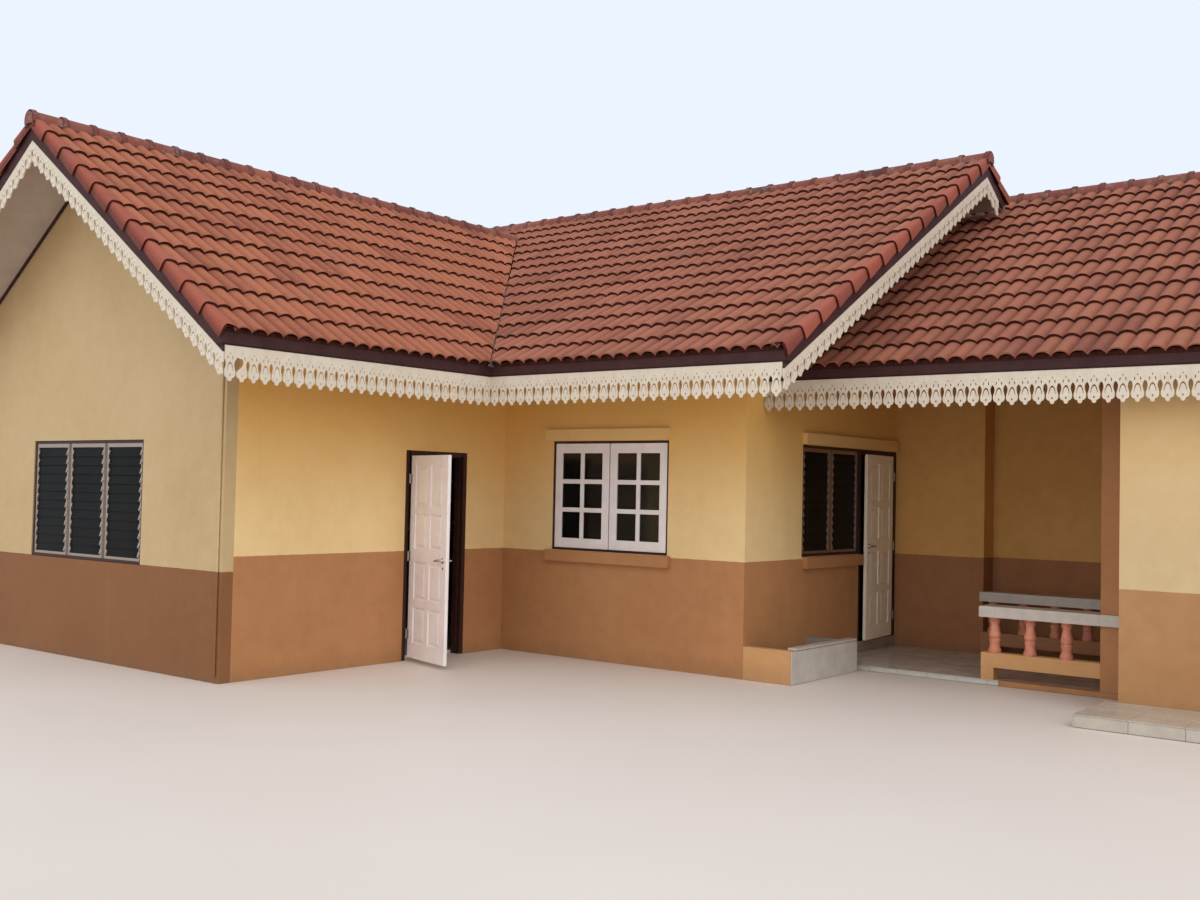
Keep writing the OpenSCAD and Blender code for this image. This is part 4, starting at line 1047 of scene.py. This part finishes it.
door("side", (0.008, -1.403), 0.038, -106, 0.748, 1.998, 1, "side_door", "side_door_leaf", "side_door_handle", 0.700, 0.990)
door("porch", (3.058, 3.183), 0.174, 5, 0.785, 2.008, -1, "porch_door", "porch_door_leaf", "porch_door_handle", 0.735, 1.015)

# ------------------------------------------------------------------ small masonry
B = Mesh()
vase = [(0.058, 0.0), (0.060, 0.018), (0.057, 0.030), (0.049, 0.046), (0.045, 0.070), (0.047, 0.096), (0.053, 0.118), (0.049, 0.130), (0.044, 0.134),
        (0.050, 0.140), (0.054, 0.158), (0.053, 0.178), (0.047, 0.205), (0.040, 0.235), (0.037, 0.258), (0.040, 0.276), (0.048, 0.288), (0.050, 0.296),
        (0.045, 0.302), (0.051, 0.308), (0.052, 0.328)]
for x in (4.89, 5.22, 5.55):
    B.lathe(vase, (x, 1.46, 0.301))
for x in (4.22, 4.55, 4.88, 5.21, 5.54, 5.87):
    B.lathe(vase, (x, 3.18, 0.301))
ob = B.make("balusters_turned", [M_BALU], slot="terracotta", replaces=("balusters",), smooth=True)
ob.data.set_sharp_from_angle(angle=math.radians(35))


def tiled(M, lo, hi, axis, size, off=(0.0, 0.0), th=0.008, gap=0.003, rnd=random.Random(5)):
    """tiles over the face of a box: axis 0, 1 or 2 with sign; lo and hi give the face's slab; th is not used"""
    ax = abs(axis) - 1
    u, v = [i for i in range(3) if i != ax]
    a = lo[u] + off[0]
    while a > lo[u] + 1e-6:
        a -= size[0]
    while a < hi[u] - 1e-6:
        b = min(a + size[0], hi[u]); a2 = max(a, lo[u])
        c = lo[v] + off[1]
        while c > lo[v] + 1e-6:
            c -= size[1]
        while c < hi[v] - 1e-6:
            d = min(c + size[1], hi[v]); c2 = max(c, lo[v])
            if b - a2 > 0.012 and d - c2 > 0.012:
                p, q = [0, 0, 0], [0, 0, 0]
                p[u], q[u] = a2 + gap / 2, b - gap / 2
                p[v], q[v] = c2 + gap / 2, d - gap / 2
                p[ax], q[ax] = lo[ax], hi[ax]
                M.box(p, q, 0, rnd.random())
            c += size[1]
        a += size[0]


# front step of the right room: beige tiles on a grout bed
M = Mesh()
x0, x1, y0, y1, zt_ = 6.14, 9.84, -0.24, 0.60, 0.10
M.box((x0 + 0.009, y0 + 0.009, 0.0), (x1 - 0.009, y1, zt_ - 0.0095), 1)
tiled(M, (x0, y0, zt_ - 0.009), (x1, y1, zt_), 3, (0.40, 0.40))
tiled(M, (x0 + 0.009, y0, 0.001), (x1 - 0.009, y0 + 0.009, zt_ - 0.0095), 2, (0.40, 0.2))
tiled(M, (x0, y0, 0.001), (x0 + 0.009, y1, zt_ - 0.0095), 1, (0.40, 0.2))
tiled(M, (x1 - 0.009, y0, 0.001), (x1, y1, zt_ - 0.0095), 1, (0.40, 0.2))
M.make("front_step_tiles", [M_STEP, M_GROUT], slot="step_tile", replaces=("front_step",), bevel=0.0012)

# porch floor
M = Mesh()
for (xa, xb, yb) in ((3.05, 4.079, 3.25), (4.08, 6.24, 3.52)):
    M.box((xa, 1.41, 0.0), (xb, yb, 0.0405), 1)
tiled(M, (3.05, 1.40, 0.041), (4.95, 3.25, 0.05), 3, (0.30, 0.30))
tiled(M, (4.95, 1.52, 0.041), (6.24, 3.25, 0.05), 3, (0.30, 0.30))
tiled(M, (4.08, 3.25, 0.041), (6.24, 3.52, 0.05), 3, (0.30, 0.30))
tiled(M, (3.05, 1.40, 0.001), (4.95, 1.409, 0.0405), 2, (0.30, 0.2))
M.make("porch_floor_tiles", [M_PTILE, M_GROUT], slot="step_tile", replaces=("porch_floor",), bevel=0.0012)
M = Mesh()
M.box((3.0502, 2.336, 0.0505), (3.0525, 3.2485, 0.1640), 1)
tiled(M, (3.0526, 2.335, 0.0515), (3.0590, 3.2490, 0.1645), 1, (0.30, 0.20))
M.make("porch_door_riser", [M_RISER, M_GROUT], slot="step_tile", bevel=0.0012)

M = Mesh()
M.box((4.951, 1.40, 0.0), (6.24, 1.519, 0.0495))
M.make("porch_kerb", [M_DADO], slot="dado_plaster", bevel=0.005)

# planter: painted front, tiled side and coping, hollow
M = Mesh()
M.box((3.05, 0.0, 0.0), (3.5545, 0.09, 0.305), 0)
M.box((3.475, 0.091, 0.0), (3.556, 1.291, 0.305), 2)
M.box((3.05, 1.21, 0.0), (3.474, 1.291, 0.300), 2)
M.box((3.05, 0.091, 0.0), (3.474, 1.209, 0.060), 3)
tiled(M, (3.5565, 0.0, 0.0), (3.565, 1.30, 0.306), 1, (0.20, 0.30), th=0.008)
tiled(M, (3.05, 1.2915, 0.051), (3.556, 1.30, 0.300), 2, (0.20, 0.30))
tiled(M, (3.47, 0.092, 0.306), (3.565, 1.30, 0.325), 3, (0.10, 0.30))
# tiles are index 0 in tiled(); painted front is told apart by its own slot
for i, f in enumerate(M.f):
    if i < 6:
        M.m[i] = 4
M.make("planter_masonry", [M_PTILE, M_GROUT, M_GROUT, M_CONC, M_TAN], slot="dado_plaster", replaces=("planter_box",), bevel=0.002)

# conduit on the gable corner, with saddle clips, painted over with the wall
M = Mesh()
M.cyl((-0.045, -3.583, 0.06), 0.0115, 2.9, 16)
for z in (0.25, 0.85, 1.45, 2.05, 2.65):
    M.cyl((-0.045, -3.583, z), 0.0122, 0.022, 16)
    M.box((-0.073, -3.5735, z + 0.002), (-0.017, -3.5705, z + 0.020))
ob = M.make("corner_conduit_clipped", [M_GABLE_SHADED], slot="conduit", replaces=("corner_conduit",), smooth=True)
ob.data.set_sharp_from_angle(angle=math.radians(40))

# ------------------------------------------------------------------ floor, light, camera
bpy.ops.mesh.primitive_plane_add(size=400, location=(0, 0, -0.002))
fl = bpy.context.active_object
fl.name = "studio_floor"
m, nt, p = new_mat("studio_floor", 0.55, 0.25)
n = noise(nt, coords(nt), 0.35, 3.0, 0.5)
nt.links.new(ramp(nt, n, [(0.3, srgb(221, 209, 200)), (0.7, srgb(226, 214, 205))]), p.inputs["Base Color"])
fl.data.materials.append(m)

sc = bpy.context.scene
sc.view_settings.view_transform = "Standard"
sc.view_settings.look = "None"
w = bpy.data.worlds.new("studio") if sc.world is None else sc.world
sc.world = w
w.use_nodes = True
bg = w.node_tree.nodes["Background"]
bg.inputs["Color"].default_value = (0.84, 0.91, 1.0, 1.0)
bg.inputs["Strength"].default_value = 1.0


def sun(name, az, el, strength, angle, col=(1, 1, 1)):
    l = bpy.data.lights.new(name, "SUN")
    l.energy, l.angle, l.color = strength, math.radians(angle), col
    o = bpy.data.objects.new(name, l)
    a, e = math.radians(az), math.radians(el)
    d = Vector((math.sin(a) * math.cos(e), -math.cos(a) * math.cos(e), math.sin(e)))  # towards the light
    o.rotation_mode = "QUATERNION"
    o.rotation_quaternion = d.to_track_quat("Z", "Y")
    sc.collection.objects.link(o)


sun("key", 52, 50, 0.50, 40, (1.0, 0.95, 0.88))
sun("side", 72, 22, 0.62, 70, (1.0, 0.94, 0.85))
sun("front", -14, 18, 0.52, 70, (1.0, 0.94, 0.86))

cam = bpy.data.cameras.new("cam")
co_ = bpy.data.objects.new("cam", cam)
sc.collection.objects.link(co_)
F_PX, YAW, PITCHA, ROLL = 1261.99, 0.6659753, 0.0319375, 0.0214313
CP = Vector((9.2654743, -10.1296086, 1.7304015)) + SH
fwd = Vector((-math.sin(YAW) * math.cos(PITCHA), math.cos(YAW) * math.cos(PITCHA), math.sin(PITCHA)))
rt = Vector((math.cos(YAW), math.sin(YAW), 0))
up = rt.cross(fwd)
r_ = rt * math.cos(ROLL) + up * math.sin(ROLL)
u_ = -rt * math.sin(ROLL) + up * math.cos(ROLL)
cam.sensor_width, cam.sensor_fit = 36.0, "HORIZONTAL"
cam.lens = F_PX / 1200 * 36.0
cam.clip_start, cam.clip_end = 0.05, 500
co_.matrix_world = Matrix(((r_.x, u_.x, -fwd.x, CP.x), (r_.y, u_.y, -fwd.y, CP.y), (r_.z, u_.z, -fwd.z, CP.z), (0, 0, 0, 1)))
sc.camera = co_
